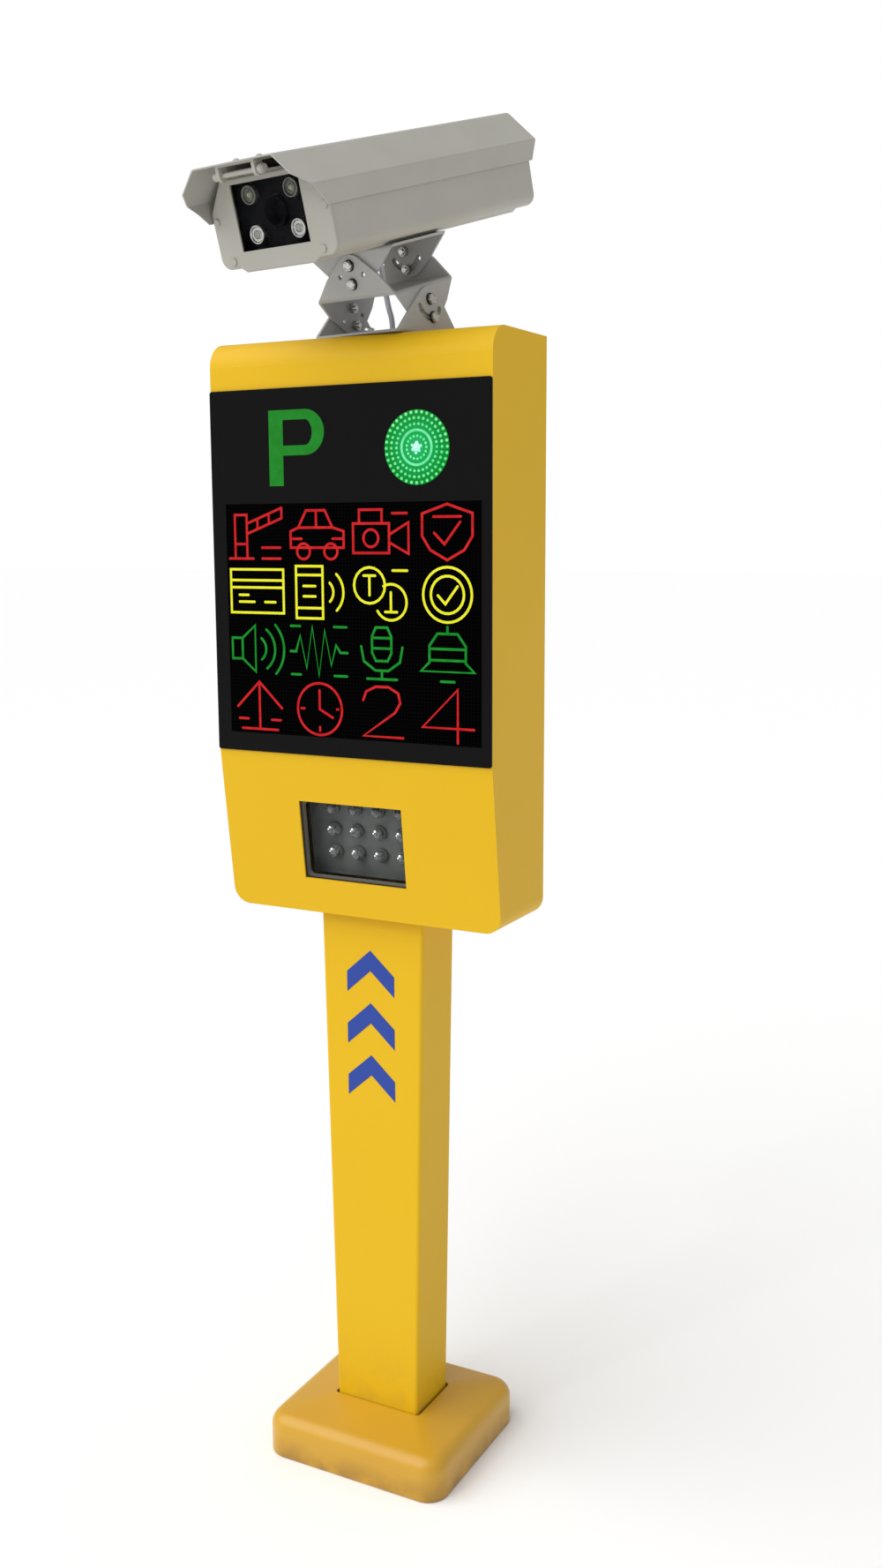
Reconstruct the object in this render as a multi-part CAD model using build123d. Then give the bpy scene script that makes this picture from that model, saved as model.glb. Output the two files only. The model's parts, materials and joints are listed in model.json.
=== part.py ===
"""Parking lane terminal: floor post, display cabinet and plate-reading camera on a tilt bracket.

Millimetres. Origin: centre of the base plate's underside. +Z up, the display faces -Y.
"""
from build123d import *
import math
import os

# ---------------------------------------------------------------- driving dimensions
# floor plate, post and cover
plate_side = 180
plate_thick = 8
plate_corner = 12
anchor_spacing = 140
anchor_hole_r = 7
cable_way_r = 30
head_way_r = 27
post_top_width = 134
post_foot_width = 108
post_depth = 77
post_wall = 3
post_corner = 4
head_plate_thick = 6
cover_width = 238
cover_depth = 214
cover_height = 61
cover_side = 49
cover_corner = 26
cover_shoulder = 17
cover_foot_round = 2.5
cover_wall = 3
cover_gap = 1.5
cover_lift = 80
# cabinet
cabinet_bolt_r = 4
cabinet_width = 350
cabinet_bottom = 670.5
cabinet_height = 640.5
cabinet_overhang = 42.2
cabinet_rear_overhang = 14
sheet = 2
chin_height = 187
chin_setback = 23.2
brow_radius = 28
foot_corner = 20
display_height = 400.5
display_thick = 3
panel_corner = 3
panel_bevel = 0.8
# display
module_width = 320
module_height = 128
module_thick = 14
module_shift = 4
module_gap_below = 21.2
sign_width = 88
sign_height = 92
sign_centre_x = -61
sign_centre_up = 336
lamp_radius = 40
lamp_centre_x = 88.5
lamp_centre_up = 332.5
rail_width = 20
rail_thick = 3
rail_spacing = 240
# fill lamp in the chin
window_width = 133
window_height = 92
window_centre_x = -6.5
window_centre_up = 86.3
window_frame_depth = 12
tray_width = 150
tray_height = 96
tray_depth = 26
tray_setback = 36
lens_radius = 8.5
lens_pitch_x = 30
lens_pitch_z = 26.5
lens_top = 31.2
lens_shift = 2.5
fill_tilt_setback = 50
# electronics
equipment_y = -32
equipment_low = 153.5
equipment_high = 563.5
speaker_x = 118
breaker_x = 92
# rear door and lock
door_width = 326
door_edge = 18.5
door_drop = 0.5
gasket_thick = 3
door_land = 13
hinge_radius = 4
hinge_bore = 2.05
hinge_pin_r = 2
hinge_length = 60
hinge_spacing = 380
lock_edge_gap = 27
cam_gap = 0.6
cam_thick = 3
# camera bracket
pan_x = 10.2
pan_y = -4.5
pan_rest = -9.4
pitch_rest = 16.5
bush_r = 16
bush_bore = 12
running_gap = 0.05
channel_sheet = 3
cross_width = 109.2
cross_length = 104.2
ear_gap = 0.3
base_clearance = 19.2
cross_clearance = 14.5
pivot_drop = 15
ear_neck = 35
ear_neck_height = 23
clamp_radius = 19
slot_half_width = 3.3
slot_half_angle = 62
peep_angle = 57
peep_hole_r = 2.6
bolt_r = 3
pan_bolt_r = 3
pan_bolt_angles = (-90, 90)
pan_bolt_circle = 40
pan_travel = 30
cable_r = 3
base_length = 111
top_length = 118
base_end_drop = -9
base_end_r = 22
cross_end_drop = -9
cross_end_r = 20
ear_margin = 6
# camera housing
housing_half = 79
housing_front = 168
housing_rear = 189
housing_floor = 4.5
housing_wall = 2.5
housing_corner = 12
seam_height = 51
housing_shift = 10
front_thick = 5
front_shoulder = 60
front_top = 90
front_top_draw = 20
glass_half = 46
glass_low = 20
glass_high = 84
glass_thick = 4
reflector_r = 9.5
reflector_x = 28.3
reflector_z = 19
reflector_proud = 6.2
board_setback = 12
camera_barrel_r = 15
shield_wall = 1.5
shield_bulge = 6
shield_wide_height = 72
shield_roof_draw = 26
shield_roof_height = 104.6
shield_foot_gap = 2
shield_front = 208
shield_rear = 198
shield_roof_bend = 7
shield_side_bend = 3
visor_corner_height = 83.5
visor_cheek_cut = 26
visor_cheek_height = 62
visor_foot_cut = 36
shield_rear_cut = 8
rod_y = -198
rod_z = 93.5
rod_r = 2.5
rod_half = 32
hinge_screw_x = 15.5
hinge_screw_back = 15
hinge_screw_r = 4.4
cheek_inner = 22
cheek_outer = 26
boss_r = 4.6
rail_draw = 25
rail_slant = 7
rail_wall = 1.5
plate_edge_round = 2

# ---------------------------------------------------------------- places worked out from them
lower_pivot_height = clamp_radius + base_clearance
upper_pivot_height = clamp_radius + cross_clearance
front_top_half = housing_half - front_top_draw
shield_wide = housing_half + shield_bulge
shield_roof = housing_half - shield_roof_draw
shield_foot = housing_half + shield_foot_gap
rail_half_top = housing_half - rail_draw
rail_half_foot = rail_half_top - rail_slant
cabinet_front = -post_depth / 2 - cabinet_overhang
cabinet_back = post_depth / 2 + cabinet_rear_overhang
cabinet_top = cabinet_bottom + cabinet_height
display_low = cabinet_bottom + chin_height
post_top = cabinet_bottom - head_plate_thick
panel_low = display_low + module_gap_below
module_y = cabinet_front + 0.3
chin_slope = math.degrees(math.atan2(chin_setback, chin_height))
window_centre_y = cabinet_front + chin_setback * (chin_height - window_centre_up) / chin_height
chin_frame = Location((window_centre_x, window_centre_y, cabinet_bottom + window_centre_up),
                      (chin_slope, 0, 0))
door_centre = cabinet_bottom + cabinet_height / 2 - door_drop
door_height = cabinet_height - 2 * door_edge
door_inner = cabinet_back + gasket_thick
hinge_x = -door_width / 2 - 5
hinge_y = cabinet_back + hinge_radius
lock_x = door_width / 2 - lock_edge_gap
cam_front = cabinet_back - sheet - door_inner - cam_gap
pan_frame = Location((pan_x, pan_y, cabinet_top), (0, 0, pan_rest))
pitch_frame = pan_frame * Location((0, 0, lower_pivot_height)) * Location((0, 0, 0), (pitch_rest, 0, 0))
cross_frame = pitch_frame * Location((0, 0, pivot_drop))
roll_frame = cross_frame * Location((0, 0, upper_pivot_height))
housing_frame = roll_frame * Location((0, housing_shift, pivot_drop))


# ---------------------------------------------------------------- helpers
def block(x0, x1, y0, y1, z0, z1):
    """A box between three pairs of limits."""
    centre = ((x0 + x1) / 2, (y0 + y1) / 2, (z0 + z1) / 2)
    return Pos(*centre) * Box(x1 - x0, y1 - y0, z1 - z0)


def bar_z(radius, z0, z1, x=0, y=0):
    """A round bar standing along Z."""
    return Pos(x, y, (z0 + z1) / 2) * Cylinder(radius, abs(z1 - z0))


def bar_y(radius, y0, y1, x=0, z=0):
    """A round bar lying along Y."""
    return Pos(x, (y0 + y1) / 2, z) * Rot(90, 0, 0) * Cylinder(radius, abs(y1 - y0))


def bar_x(radius, x0, x1, y=0, z=0):
    """A round bar lying along X."""
    return Pos((x0 + x1) / 2, y, z) * Rot(0, 90, 0) * Cylinder(radius, abs(x1 - x0))


def rounded_block(width, depth, z0, z1, corner):
    """A block standing on the XY plane with rounded upright edges."""
    return extrude(Plane.XY.offset(z0) * RectangleRounded(width, depth, corner), z1 - z0)


def side_prism(points, x0, x1):
    """A prism along X from an outline of (y, z) points."""
    face = Plane.YZ.offset(x0) * make_face(Polyline(*points, close=True))
    return extrude(face, x1 - x0)


def front_prism(points, y0, y1):
    """A prism along Y from an outline of (x, z) points."""
    outline = [(x, y0, z) for x, z in points]
    face = make_face(Polyline(*outline, close=True))
    return extrude(face, y1 - y0, dir=(0, 1, 0))


def hex_bolt(radius, grip):
    """Screw, washer and nut along Z: the head bears at z=0, the nut at z=-grip."""
    head = extrude(RegularPolygon(radius * 1.9, 6), radius * 1.3)
    washer_thick = radius * 0.4
    body = Pos(0, 0, washer_thick) * head + bar_z(radius * 2.1, 0, washer_thick)
    body += bar_z(radius, -grip - radius * 2.4, 0.5)
    body += Pos(0, 0, -grip - radius * 1.7) * extrude(RegularPolygon(radius * 1.9, 6), radius * 1.7)
    return body


def group(solids):
    """Several separate solids kept in one node."""
    return Compound(children=list(solids))


# ---------------------------------------------------------------- floor plate, post and cover
def make_base_plate():
    plate = rounded_block(plate_side, plate_side, 0, plate_thick, plate_corner)
    plate -= bar_z(cable_way_r, -1, plate_thick + 1)
    for x in (-1, 1):
        for y in (-1, 1):
            plate -= bar_z(anchor_hole_r, -1, plate_thick + 1, x * anchor_spacing / 2, y * anchor_spacing / 2)
    return plate


def post_width_at(z):
    """Width of the tapering post at a height."""
    share = (z - plate_thick) / (post_top - plate_thick)
    return post_foot_width + (post_top_width - post_foot_width) * share


def tapered_bar(inset, z0, z1):
    """The post's taper, drawn in by an inset, between two heights."""
    corner = max(post_corner - inset, 0.8)
    ends = []
    for z in (z0, z1):
        outline = RectangleRounded(post_width_at(z) - 2 * inset, post_depth - 2 * inset, corner)
        ends.append(Plane.XY.offset(z) * outline)
    return loft(ends, ruled=True)


def make_post():
    return tapered_bar(0, plate_thick, post_top) - tapered_bar(post_wall, plate_thick - 5, post_top + 5)


def cabinet_bolt_places():
    for x in (-1, 1):
        for y in (-1, 1):
            yield x * (post_top_width / 2 - 20), y * (post_depth / 2 - 16)


def make_post_head():
    head = rounded_block(post_top_width, post_depth, post_top, cabinet_bottom, post_corner)
    head -= bar_z(head_way_r, post_top - 1, cabinet_bottom + 1)
    for x, y in cabinet_bolt_places():
        head -= bar_z(cabinet_bolt_r + running_gap, post_top - 1, cabinet_bottom + 1, x, y)
    return head


def make_cabinet_bolts():
    bolts = []
    for x, y in cabinet_bolt_places():
        head_low = cabinet_bottom + sheet
        body = Pos(x, y, head_low + 1.6) * extrude(RegularPolygon(7.4, 6), 5.3)
        body += bar_z(8.4, head_low, head_low + 1.6, x, y)
        body += bar_z(cabinet_bolt_r, post_top, head_low + 2, x, y)
        bolts.append(body)
    return group(bolts)


def cover_form(inset, low):
    """The cover's outer form: upright sides, then faces that rise gently to the post."""
    width = cover_width - 2 * inset
    depth = cover_depth - 2 * inset
    corner = cover_corner - inset
    neck = post_width_at(cover_height) + 8
    side_top = cover_side - inset * 0.5
    upright = rounded_block(width, depth, low, side_top, corner)
    shoulder = Plane.XY.offset(side_top) * RectangleRounded(width, depth, corner)
    crown = Plane.XY.offset(cover_height - inset) * RectangleRounded(neck, post_depth + 8, 8)
    form = upright + loft([shoulder, crown], ruled=True)
    level = [edge for edge in form.edges() if abs(edge.center().Z - side_top) < 0.01]
    rim = [edge for edge in level if edge.bounding_box().size.Z < 0.01]
    return fillet(rim, cover_shoulder - inset)


def make_base_cover():
    form = cover_form(0, 0)
    form = fillet(form.faces().sort_by(Axis.Z)[0].edges(), cover_foot_round)
    cover = form - cover_form(cover_wall, -1)
    opening_width = post_width_at(cover_height + cover_lift) + 2 * cover_gap
    opening = RectangleRounded(opening_width, post_depth + 2 * cover_gap, post_corner)
    return cover - extrude(Plane.XY.offset(cover_side / 2) * opening, cover_height)


# ---------------------------------------------------------------- cabinet
def cabinet_outline(inset):
    """The cabinet's side view as a face in the YZ plane."""
    low = cabinet_bottom
    points = [(cabinet_back, low), (cabinet_front + chin_setback, low), (cabinet_front, display_low),
              (cabinet_front, cabinet_top), (cabinet_back, cabinet_top)]
    face = make_face(Polyline(*points, close=True))
    face = fillet(face.vertices().sort_by_distance((cabinet_front, cabinet_top, 0))[0], brow_radius)
    if inset:
        face = offset(face, -inset)
    return Plane.YZ * face


def cabinet_form(inset):
    """The cabinet as a solid with its two bottom edges rounded, drawn in by an inset."""
    form = extrude(cabinet_outline(inset), cabinet_width / 2 - inset, both=True)
    return fillet(form.edges().filter_by(Axis.Y).group_by(Axis.Z)[0], foot_corner - inset)


def pan_bolt_places():
    for angle in pan_bolt_angles:
        turn = math.radians(angle)
        yield pan_x + pan_bolt_circle * math.cos(turn), pan_y + pan_bolt_circle * math.sin(turn)


def make_cabinet_shell():
    shell = cabinet_form(0) - cabinet_form(sheet)
    opening_low = display_low + module_gap_below - 3
    opening_high = display_low + display_height - 17
    half = module_width / 2 + module_shift + 4
    shell -= block(-half, half, cabinet_front - 5, cabinet_front + 10, opening_low, opening_high)
    window = block(-window_width / 2, window_width / 2, -5, 8, -window_height / 2, window_height / 2)
    shell -= chin_frame * window
    half = door_width / 2 - door_land
    low = door_centre - door_height / 2 + door_land
    high = door_centre + door_height / 2 - door_land
    shell -= block(-half, half, cabinet_back - 10, cabinet_back + 5, low, high)
    shell -= bar_z(bush_r + running_gap, cabinet_top - 10, cabinet_top + 5, pan_x, pan_y)
    for x, y in pan_bolt_places():
        shell -= bar_z(pan_bolt_r + running_gap, cabinet_top - 10, cabinet_top + 5, x, y)
    for x, y in cabinet_bolt_places():
        shell -= bar_z(cabinet_bolt_r + running_gap, cabinet_bottom - 5, cabinet_bottom + 5, x, y)
    shell -= bar_z(head_way_r, cabinet_bottom - 5, cabinet_bottom + 5)
    for row in range(5):
        x = speaker_x - 20 + row * 10
        shell -= block(x - 1.5, x + 1.5, -18, 18, cabinet_bottom - 5, cabinet_bottom + 5)
    return shell


def make_display_panel():
    front = cabinet_front - display_thick
    panel = block(-cabinet_width / 2, cabinet_width / 2, front, cabinet_front,
                  display_low, display_low + display_height)
    panel = fillet(panel.edges().filter_by(Axis.Y), panel_corner)
    return chamfer(panel.faces().sort_by(Axis.Y)[0].edges(), panel_bevel)


def make_led_module(row):
    low = panel_low + row * module_height
    half = module_width / 2
    body = block(module_shift - half, module_shift + half, module_y, module_y + module_thick,
                 low + 0.1, low + module_height - 0.1)
    for column in range(4):
        for pocket_row in range(2):
            x = module_shift - half + 6 + column * 78
            z = low + 6 + pocket_row * 60
            body -= block(x, x + 72, module_y + 6, module_y + module_thick + 1, z, z + 54)
    return body


def make_display_frame():
    """Two upright rails and two cross bars that carry the display's boards."""
    rear = module_y + module_thick
    low = display_low + 2
    high = display_low + display_height - 2
    frame = None
    for side in (-1, 1):
        x = side * rail_spacing / 2
        rail = block(x - rail_width / 2, x + rail_width / 2, rear, rear + rail_thick, low, high)
        for z0, z1 in ((low, low + 14), (high - 12, high)):
            rail += block(x - rail_width / 2, x + rail_width / 2, cabinet_front + sheet, rear, z0, z1)
        frame = rail if frame is None else frame + rail
    for z in (sign_centre_up - 30, sign_centre_up + 30):
        z0 = display_low + z
        frame += block(-rail_spacing / 2, rail_spacing / 2, rear, rear + rail_thick, z0 - 7, z0 + 7)
    return frame


def make_sign_board():
    z = display_low + sign_centre_up
    x = sign_centre_x
    board = block(x - sign_width / 2, x + sign_width / 2, module_y, module_y + module_thick,
                  z - sign_height / 2, z + sign_height / 2)
    edges = board.edges().filter_by(Axis.Y)
    return fillet(edges, 4)


def make_signal_lamp():
    """Round board with three raised rings around a domed centre."""
    z = display_low + lamp_centre_up
    lamp = bar_y(lamp_radius, module_y + 3, module_y + module_thick, lamp_centre_x, z)
    for ring in (1.0, 0.72, 0.44):
        outer = bar_y(lamp_radius * ring, module_y, module_y + 4, lamp_centre_x, z)
        lamp += outer - bar_y(lamp_radius * ring - 5, module_y - 1, module_y + 5, lamp_centre_x, z)
    return lamp + bar_y(6, module_y, module_y + 4, lamp_centre_x, z)


# ---------------------------------------------------------------- fill lamp behind the chin
def make_window_frame():
    outer = block(-window_width / 2 - 7, window_width / 2 + 7, sheet, sheet + window_frame_depth,
                  -window_height / 2 - 7, window_height / 2 + 7)
    hole = block(-window_width / 2, window_width / 2, 0, sheet + window_frame_depth + 1,
                 -window_height / 2, window_height / 2)
    seat = block(-window_width / 2 - 4, window_width / 2 + 4, window_frame_depth - 2,
                 sheet + window_frame_depth + 1, -window_height / 2 - 4, window_height / 2 + 4)
    return chin_frame * (outer - hole - seat)


def make_window_glass():
    y0 = window_frame_depth - 2
    half_w = window_width / 2 + 3.9
    half_h = window_height / 2 + 3.9
    return chin_frame * block(-half_w, half_w, y0, y0 + 4, -half_h, half_h)


def make_fill_tray():
    half_w = tray_width / 2
    low = -tray_height / 2 - 2
    high = tray_height / 2 - 2
    y0 = tray_setback
    tray = block(-half_w, half_w, y0 - 2, y0 + tray_depth, low, high)
    tray -= block(-half_w + 2, half_w - 2, y0 - 3, y0 + tray_depth - 2, low + 2, high - 2)
    for side in (-1, 1):
        stub = bar_x(4, side * half_w, side * (half_w + 6), fill_tilt_setback, 0)
        tray += stub
    return chin_frame * tray


def make_fill_board():
    half_w = tray_width / 2 - 2
    board = block(-half_w, half_w, tray_setback, tray_setback + 2,
                  -tray_height / 2, tray_height / 2 - 4)
    return chin_frame * board


def make_fill_lenses():
    lenses = []
    for column in range(4):
        for row in range(3):
            x = (column - 1.5) * lens_pitch_x + lens_shift
            z = lens_top - row * lens_pitch_z
            holder = bar_y(lens_radius, tray_setback - 6, tray_setback, x, z)
            dome = Pos(x, tray_setback - 6, z) * Sphere(lens_radius * 0.85)
            seat = bar_y(lens_radius, tray_setback, tray_setback + lens_radius, x, z)
            lenses.append(holder + dome - seat)
    return chin_frame * group(lenses)


def make_fill_bracket():
    """U bracket across the cabinet: two cheeks with round bores, joined by a rear bar."""
    cheek_x = tray_width / 2 + 1.5
    y = fill_tilt_setback
    bracket = None
    for side in (-1, 1):
        inner, outer = sorted((side * cheek_x, side * (cheek_x + 3)))
        cheek = block(inner, outer, y - 10, y + 24, -10, 10)
        cheek += block(inner, outer, y + 14, y + 24, -70, 10)
        cheek -= bar_x(4 + running_gap, inner - 1, outer + 1, y, 0)
        bracket = cheek if bracket is None else bracket + cheek
    bracket += block(-cheek_x - 3, cheek_x + 3, y + 21, y + 24, -14, 10)
    bracket = chin_frame * bracket
    foot_y = (chin_frame * Location((0, y + 14, -70))).position.Y
    for side in (-1, 1):
        x = window_centre_x + side * (cheek_x + 1.5)
        foot = block(x - 9, x + 9, foot_y - 14, foot_y + 14, cabinet_bottom + sheet, cabinet_bottom + sheet + 3)
        foot += block(x - 1.5, x + 1.5, foot_y - 2, foot_y + 8, cabinet_bottom + sheet, cabinet_bottom + 20)
        bracket += foot
    return bracket


# ---------------------------------------------------------------- electronics
def make_equipment_plate():
    low = cabinet_bottom + equipment_low
    high = cabinet_bottom + equipment_high
    half = cabinet_width / 2 - sheet
    plate = block(-half, half, equipment_y - 2, equipment_y, low, high)
    for side in (-1, 1):
        x0, x1 = sorted((side * half, side * (half - 2)))
        plate += block(x0, x1, equipment_y - 2, equipment_y + 12, low, high)
    plate -= block(-half + 30, half - 30, equipment_y - 5, equipment_y + 5, high - 50, high - 20)
    return plate


def make_power_supply():
    low = cabinet_bottom + equipment_low + 30
    case = block(-160, -60, equipment_y, equipment_y + 38, low, low + 160)
    for slot in range(8):
        z = low + 20 + slot * 14
        case -= block(-150, -70, equipment_y + 36, equipment_y + 40, z, z + 4)
    return case


def make_controller_board():
    low = cabinet_bottom + equipment_low + 200
    board = block(-130, 30, equipment_y + 8, equipment_y + 9.6, low, low + 110)
    for x in (-124, 24):
        for z in (low + 6, low + 104):
            board += bar_y(3, equipment_y, equipment_y + 8, x, z)
    for index, size in enumerate((26, 18, 14, 22)):
        x = -112 + index * 34
        board += block(x, x + size, equipment_y + 9.6, equipment_y + 9.6 + size / 3, low + 30, low + 30 + size)
    board += block(-100, 0, equipment_y + 9.6, equipment_y + 20, low + 88, low + 98)
    return board


def make_din_rail():
    z = cabinet_bottom + equipment_low + 110
    rail = block(-40, 155, equipment_y, equipment_y + 1, z - 13.5, z + 13.5)
    for side in (-1, 1):
        z0, z1 = sorted((z + side * 13.5, z + side * 12.5))
        rail += block(-40, 155, equipment_y, equipment_y + 7.5, z0, z1)
        z0, z1 = sorted((z + side * 12.5, z + side * 17.5))
        rail += block(-40, 155, equipment_y + 6.5, equipment_y + 7.5, z0, z1)
    return rail


def breaker_frame():
    """Centre of the lever's pivot on the circuit breaker."""
    return Location((breaker_x, equipment_y + 7.5 + 50, cabinet_bottom + equipment_low + 110))


def make_breaker_body():
    z = cabinet_bottom + equipment_low + 110
    y0 = equipment_y + 7.5
    body = block(breaker_x - 18, breaker_x + 18, y0, y0 + 44, z - 40, z + 40)
    body += block(breaker_x - 18, breaker_x + 18, y0 + 44, y0 + 58, z - 22, z + 22)
    body -= block(breaker_x - 8, breaker_x + 8, y0 + 38, y0 + 70, z - 14, z + 14)
    return body


def make_breaker_lever():
    lever = bar_x(6, -7.5, 7.5) + block(-7.5, 7.5, 0, 15, 2, 5.8)
    return breaker_frame() * Rot(-25, 0, 0) * lever


def make_terminal_block():
    z = cabinet_bottom + equipment_low + 110
    blocks = []
    for index in range(8):
        x = -30 + index * 10
        body = block(x, x + 9.8, equipment_y + 7.5, equipment_y + 40, z - 24, z + 24)
        body -= bar_y(2.5, equipment_y + 34, equipment_y + 41, x + 4.9, z + 14)
        body -= bar_y(2.5, equipment_y + 34, equipment_y + 41, x + 4.9, z - 14)
        blocks.append(body)
    return group(blocks)


def make_speaker():
    """Speaker lying over the slots in the cabinet's floor."""
    low = cabinet_bottom + sheet
    frame = Pos(speaker_x, 0, 0) * rounded_block(60, 60, low, low + 3, 6)
    cone = Pos(speaker_x, 0, low + 10.5) * Cone(28, 16, 15)
    frame = frame + cone + bar_z(18, low + 18, low + 30, speaker_x)
    hollow = Pos(speaker_x, 0, low + 7.9) * Cone(25, 13, 16)
    return frame - hollow


# ---------------------------------------------------------------- rear door
def make_rear_door():
    half = door_width / 2
    low = door_centre - door_height / 2
    high = door_centre + door_height / 2
    door = block(-half, half, door_inner, door_inner + sheet, low, high)
    door = fillet(door.edges().filter_by(Axis.Y), 8)
    for z in (door_centre - 190, door_centre + 190):
        door += block(-half + 30, half - 50, door_inner - 8, door_inner, z - 12, z + 12)
        door -= block(-half + 32, half - 52, door_inner - 9, door_inner - 2, z - 10, z + 10)
    door -= bar_y(9 + running_gap, door_inner - 5, door_inner + 5, lock_x, door_centre)
    return door


def make_door_gasket():
    half = door_width / 2 - 2
    low = door_centre - door_height / 2 + 2
    high = door_centre + door_height / 2 - 2
    ring = block(-half, half, cabinet_back, door_inner, low, high)
    ring = fillet(ring.edges().filter_by(Axis.Y), 7)
    width = door_land - 5
    return ring - block(-half + width, half - width, cabinet_back - 1, door_inner + 1, low + width, high - width)


def hinge_heights():
    for side in (-1, 1):
        yield door_centre + side * hinge_spacing / 2


def make_fixed_leaves():
    leaves = []
    for z in hinge_heights():
        third = hinge_length / 3
        leaf = block(-cabinet_width / 2 + 1, hinge_x, cabinet_back, cabinet_back + 2, z - 30, z + 30)
        for z0 in (z - 30, z + 30 - third + 0.1):
            leaf += bar_z(hinge_radius, z0, z0 + third - 0.1, hinge_x, hinge_y)
            leaf += block(hinge_x - 4, hinge_x, cabinet_back, hinge_y, z0, z0 + third - 0.1)
        leaf -= block(hinge_x - 5, hinge_x + 1, cabinet_back - 1, cabinet_back + 3, z - 10.2, z + 10.2)
        leaf += block(-cabinet_width / 2 + 1, hinge_x - 5, cabinet_back, cabinet_back + 2, z - 10.2, z + 10.2)
        leaves.append(leaf - bar_z(hinge_bore, z - 40, z + 40, hinge_x, hinge_y))
    return group(leaves)


def make_door_leaves():
    leaves = []
    outer = door_inner + sheet
    for z in hinge_heights():
        leaf = bar_z(hinge_radius, z - 9.9, z + 9.9, hinge_x, hinge_y)
        leaf += block(hinge_x, hinge_x + 34, outer, outer + 2, z - 9.9, z + 9.9)
        leaf += block(hinge_x + 6, hinge_x + 34, outer, outer + 2, z - 28, z + 28)
        leaves.append(leaf - bar_z(hinge_bore, z - 40, z + 40, hinge_x, hinge_y))
    return group(leaves)


def make_hinge_pins():
    pins = []
    for z in hinge_heights():
        pin = bar_z(hinge_pin_r, z - 32, z + 32, hinge_x, hinge_y)
        pins.append(pin + bar_z(3.4, z + 30, z + 32, hinge_x, hinge_y))
    return group(pins)


def lock_place():
    return Pos(lock_x, door_inner, door_centre)


def make_lock_housing():
    outer = sheet
    body = bar_y(13, outer, outer + 2) + bar_y(9, cam_front, outer)
    return lock_place() * (body - bar_y(6.05, -30, outer + 5))


def make_lock_nut():
    nut = Rot(90, 0, 0) * extrude(RegularPolygon(13, 6), 5)
    return lock_place() * (nut - bar_y(9 + running_gap, -10, 1))


def make_lock_plug():
    plug = bar_y(6, cam_front, sheet + 1.5)
    plug -= block(-2.5, 2.5, sheet - 3, sheet + 3, -2.5, 2.5)
    return lock_place() * plug


def make_lock_cam():
    cam = block(-8, 8, cam_front - cam_thick, cam_front, -8, 30)
    return lock_place() * fillet(cam.edges().filter_by(Axis.Y), 5)


# ---------------------------------------------------------------- tilt bracket
def ear_outline(half, neck, neck_height, end_height, end_radius, sheet_edge):
    """An ear in its own plane: wide at its plate, drawn in at a neck, with a round end."""
    trapezoid = make_face(Polyline((-half, sheet_edge), (half, sheet_edge), (neck, neck_height),
                                   (-neck, neck_height), close=True))
    end = Pos(0, end_height) * Circle(end_radius)
    return make_hull((trapezoid + end).edges())


def arc_slot(radius, half_width, start, stop):
    """A slot along an arc about the origin, from one angle to another."""
    middle = (start + stop) / 2
    points = []
    for angle in (start, middle, stop):
        points.append((radius * math.cos(math.radians(angle)), radius * math.sin(math.radians(angle))))
    path = ThreePointArc(*points)
    return SlotArc(path, 2 * half_width)


def stand_across_y(face):
    """Turns a face drawn with u, v so that it stands in the XZ plane."""
    return Plane.XZ * face


def stand_across_x(face):
    """Turns a face drawn with u, v so that it stands in the YZ plane."""
    return Plane.YZ * face


def channel(width, length, height, sheet_thick, bend):
    """A U channel open upwards: its plate on z=0, its ears across X at plus and minus width / 2."""
    half = width / 2
    outer = make_face(Polyline((-half, 0), (half, 0), (half, height), (-half, height), close=True))
    outer = fillet(outer.vertices().group_by(Axis.Y)[0], bend)
    inner_half = half - sheet_thick
    inner = make_face(Polyline((-inner_half, sheet_thick), (inner_half, sheet_thick),
                               (inner_half, height + 1), (-inner_half, height + 1), close=True))
    inner = fillet(inner.vertices().group_by(Axis.Y)[0], max(bend - sheet_thick, 0.5))
    return extrude(stand_across_y(outer - inner), length / 2, both=True)


def eared_channel(width, length, pivot, end_offset, end_radius):
    """A channel whose two ears are cut to the necked outline."""
    height = pivot + end_offset + end_radius + 1
    raw = channel(width, length, height, channel_sheet, channel_sheet + 1)
    outline = ear_outline(length / 2, ear_neck, ear_neck_height, pivot + end_offset, end_radius, 0)
    keep = extrude(stand_across_x(outline), width, both=True)
    return raw & keep


base_width = cross_width + 2 * (ear_gap + channel_sheet)
top_width = cross_length - 2 * (ear_gap + channel_sheet)
hanging_end = clamp_radius + slot_half_width + ear_margin


def make_pan_bush():
    bush = bar_z(bush_r - running_gap, -10, 3.5) + bar_z(21, -5, -sheet)
    bush -= bar_z(bush_bore, -12, 5)
    return Location((pan_x, pan_y, cabinet_top)) * bush


def make_base_channel():
    base = eared_channel(base_width, base_length, lower_pivot_height, base_end_drop, base_end_r)
    base -= bar_z(bush_r + running_gap, -1, 5)
    for angle in pan_bolt_angles:
        slot = arc_slot(pan_bolt_circle, pan_bolt_r + 0.4, angle - pan_travel - 2, angle + pan_travel + 2)
        base -= extrude(slot, 10, both=True)
    for side in (-1, 1):
        x0 = side * base_width / 2
        cutter = bar_x(bolt_r + running_gap, x0 - 6, x0 + 6, 0, lower_pivot_height)
        slot = arc_slot(clamp_radius, slot_half_width, -90 - slot_half_angle, -90 + slot_half_angle)
        slot = extrude(stand_across_x(slot), 6, both=True)
        base -= cutter
        base -= Pos(x0, 0, lower_pivot_height) * slot
    return pan_frame * base


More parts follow.
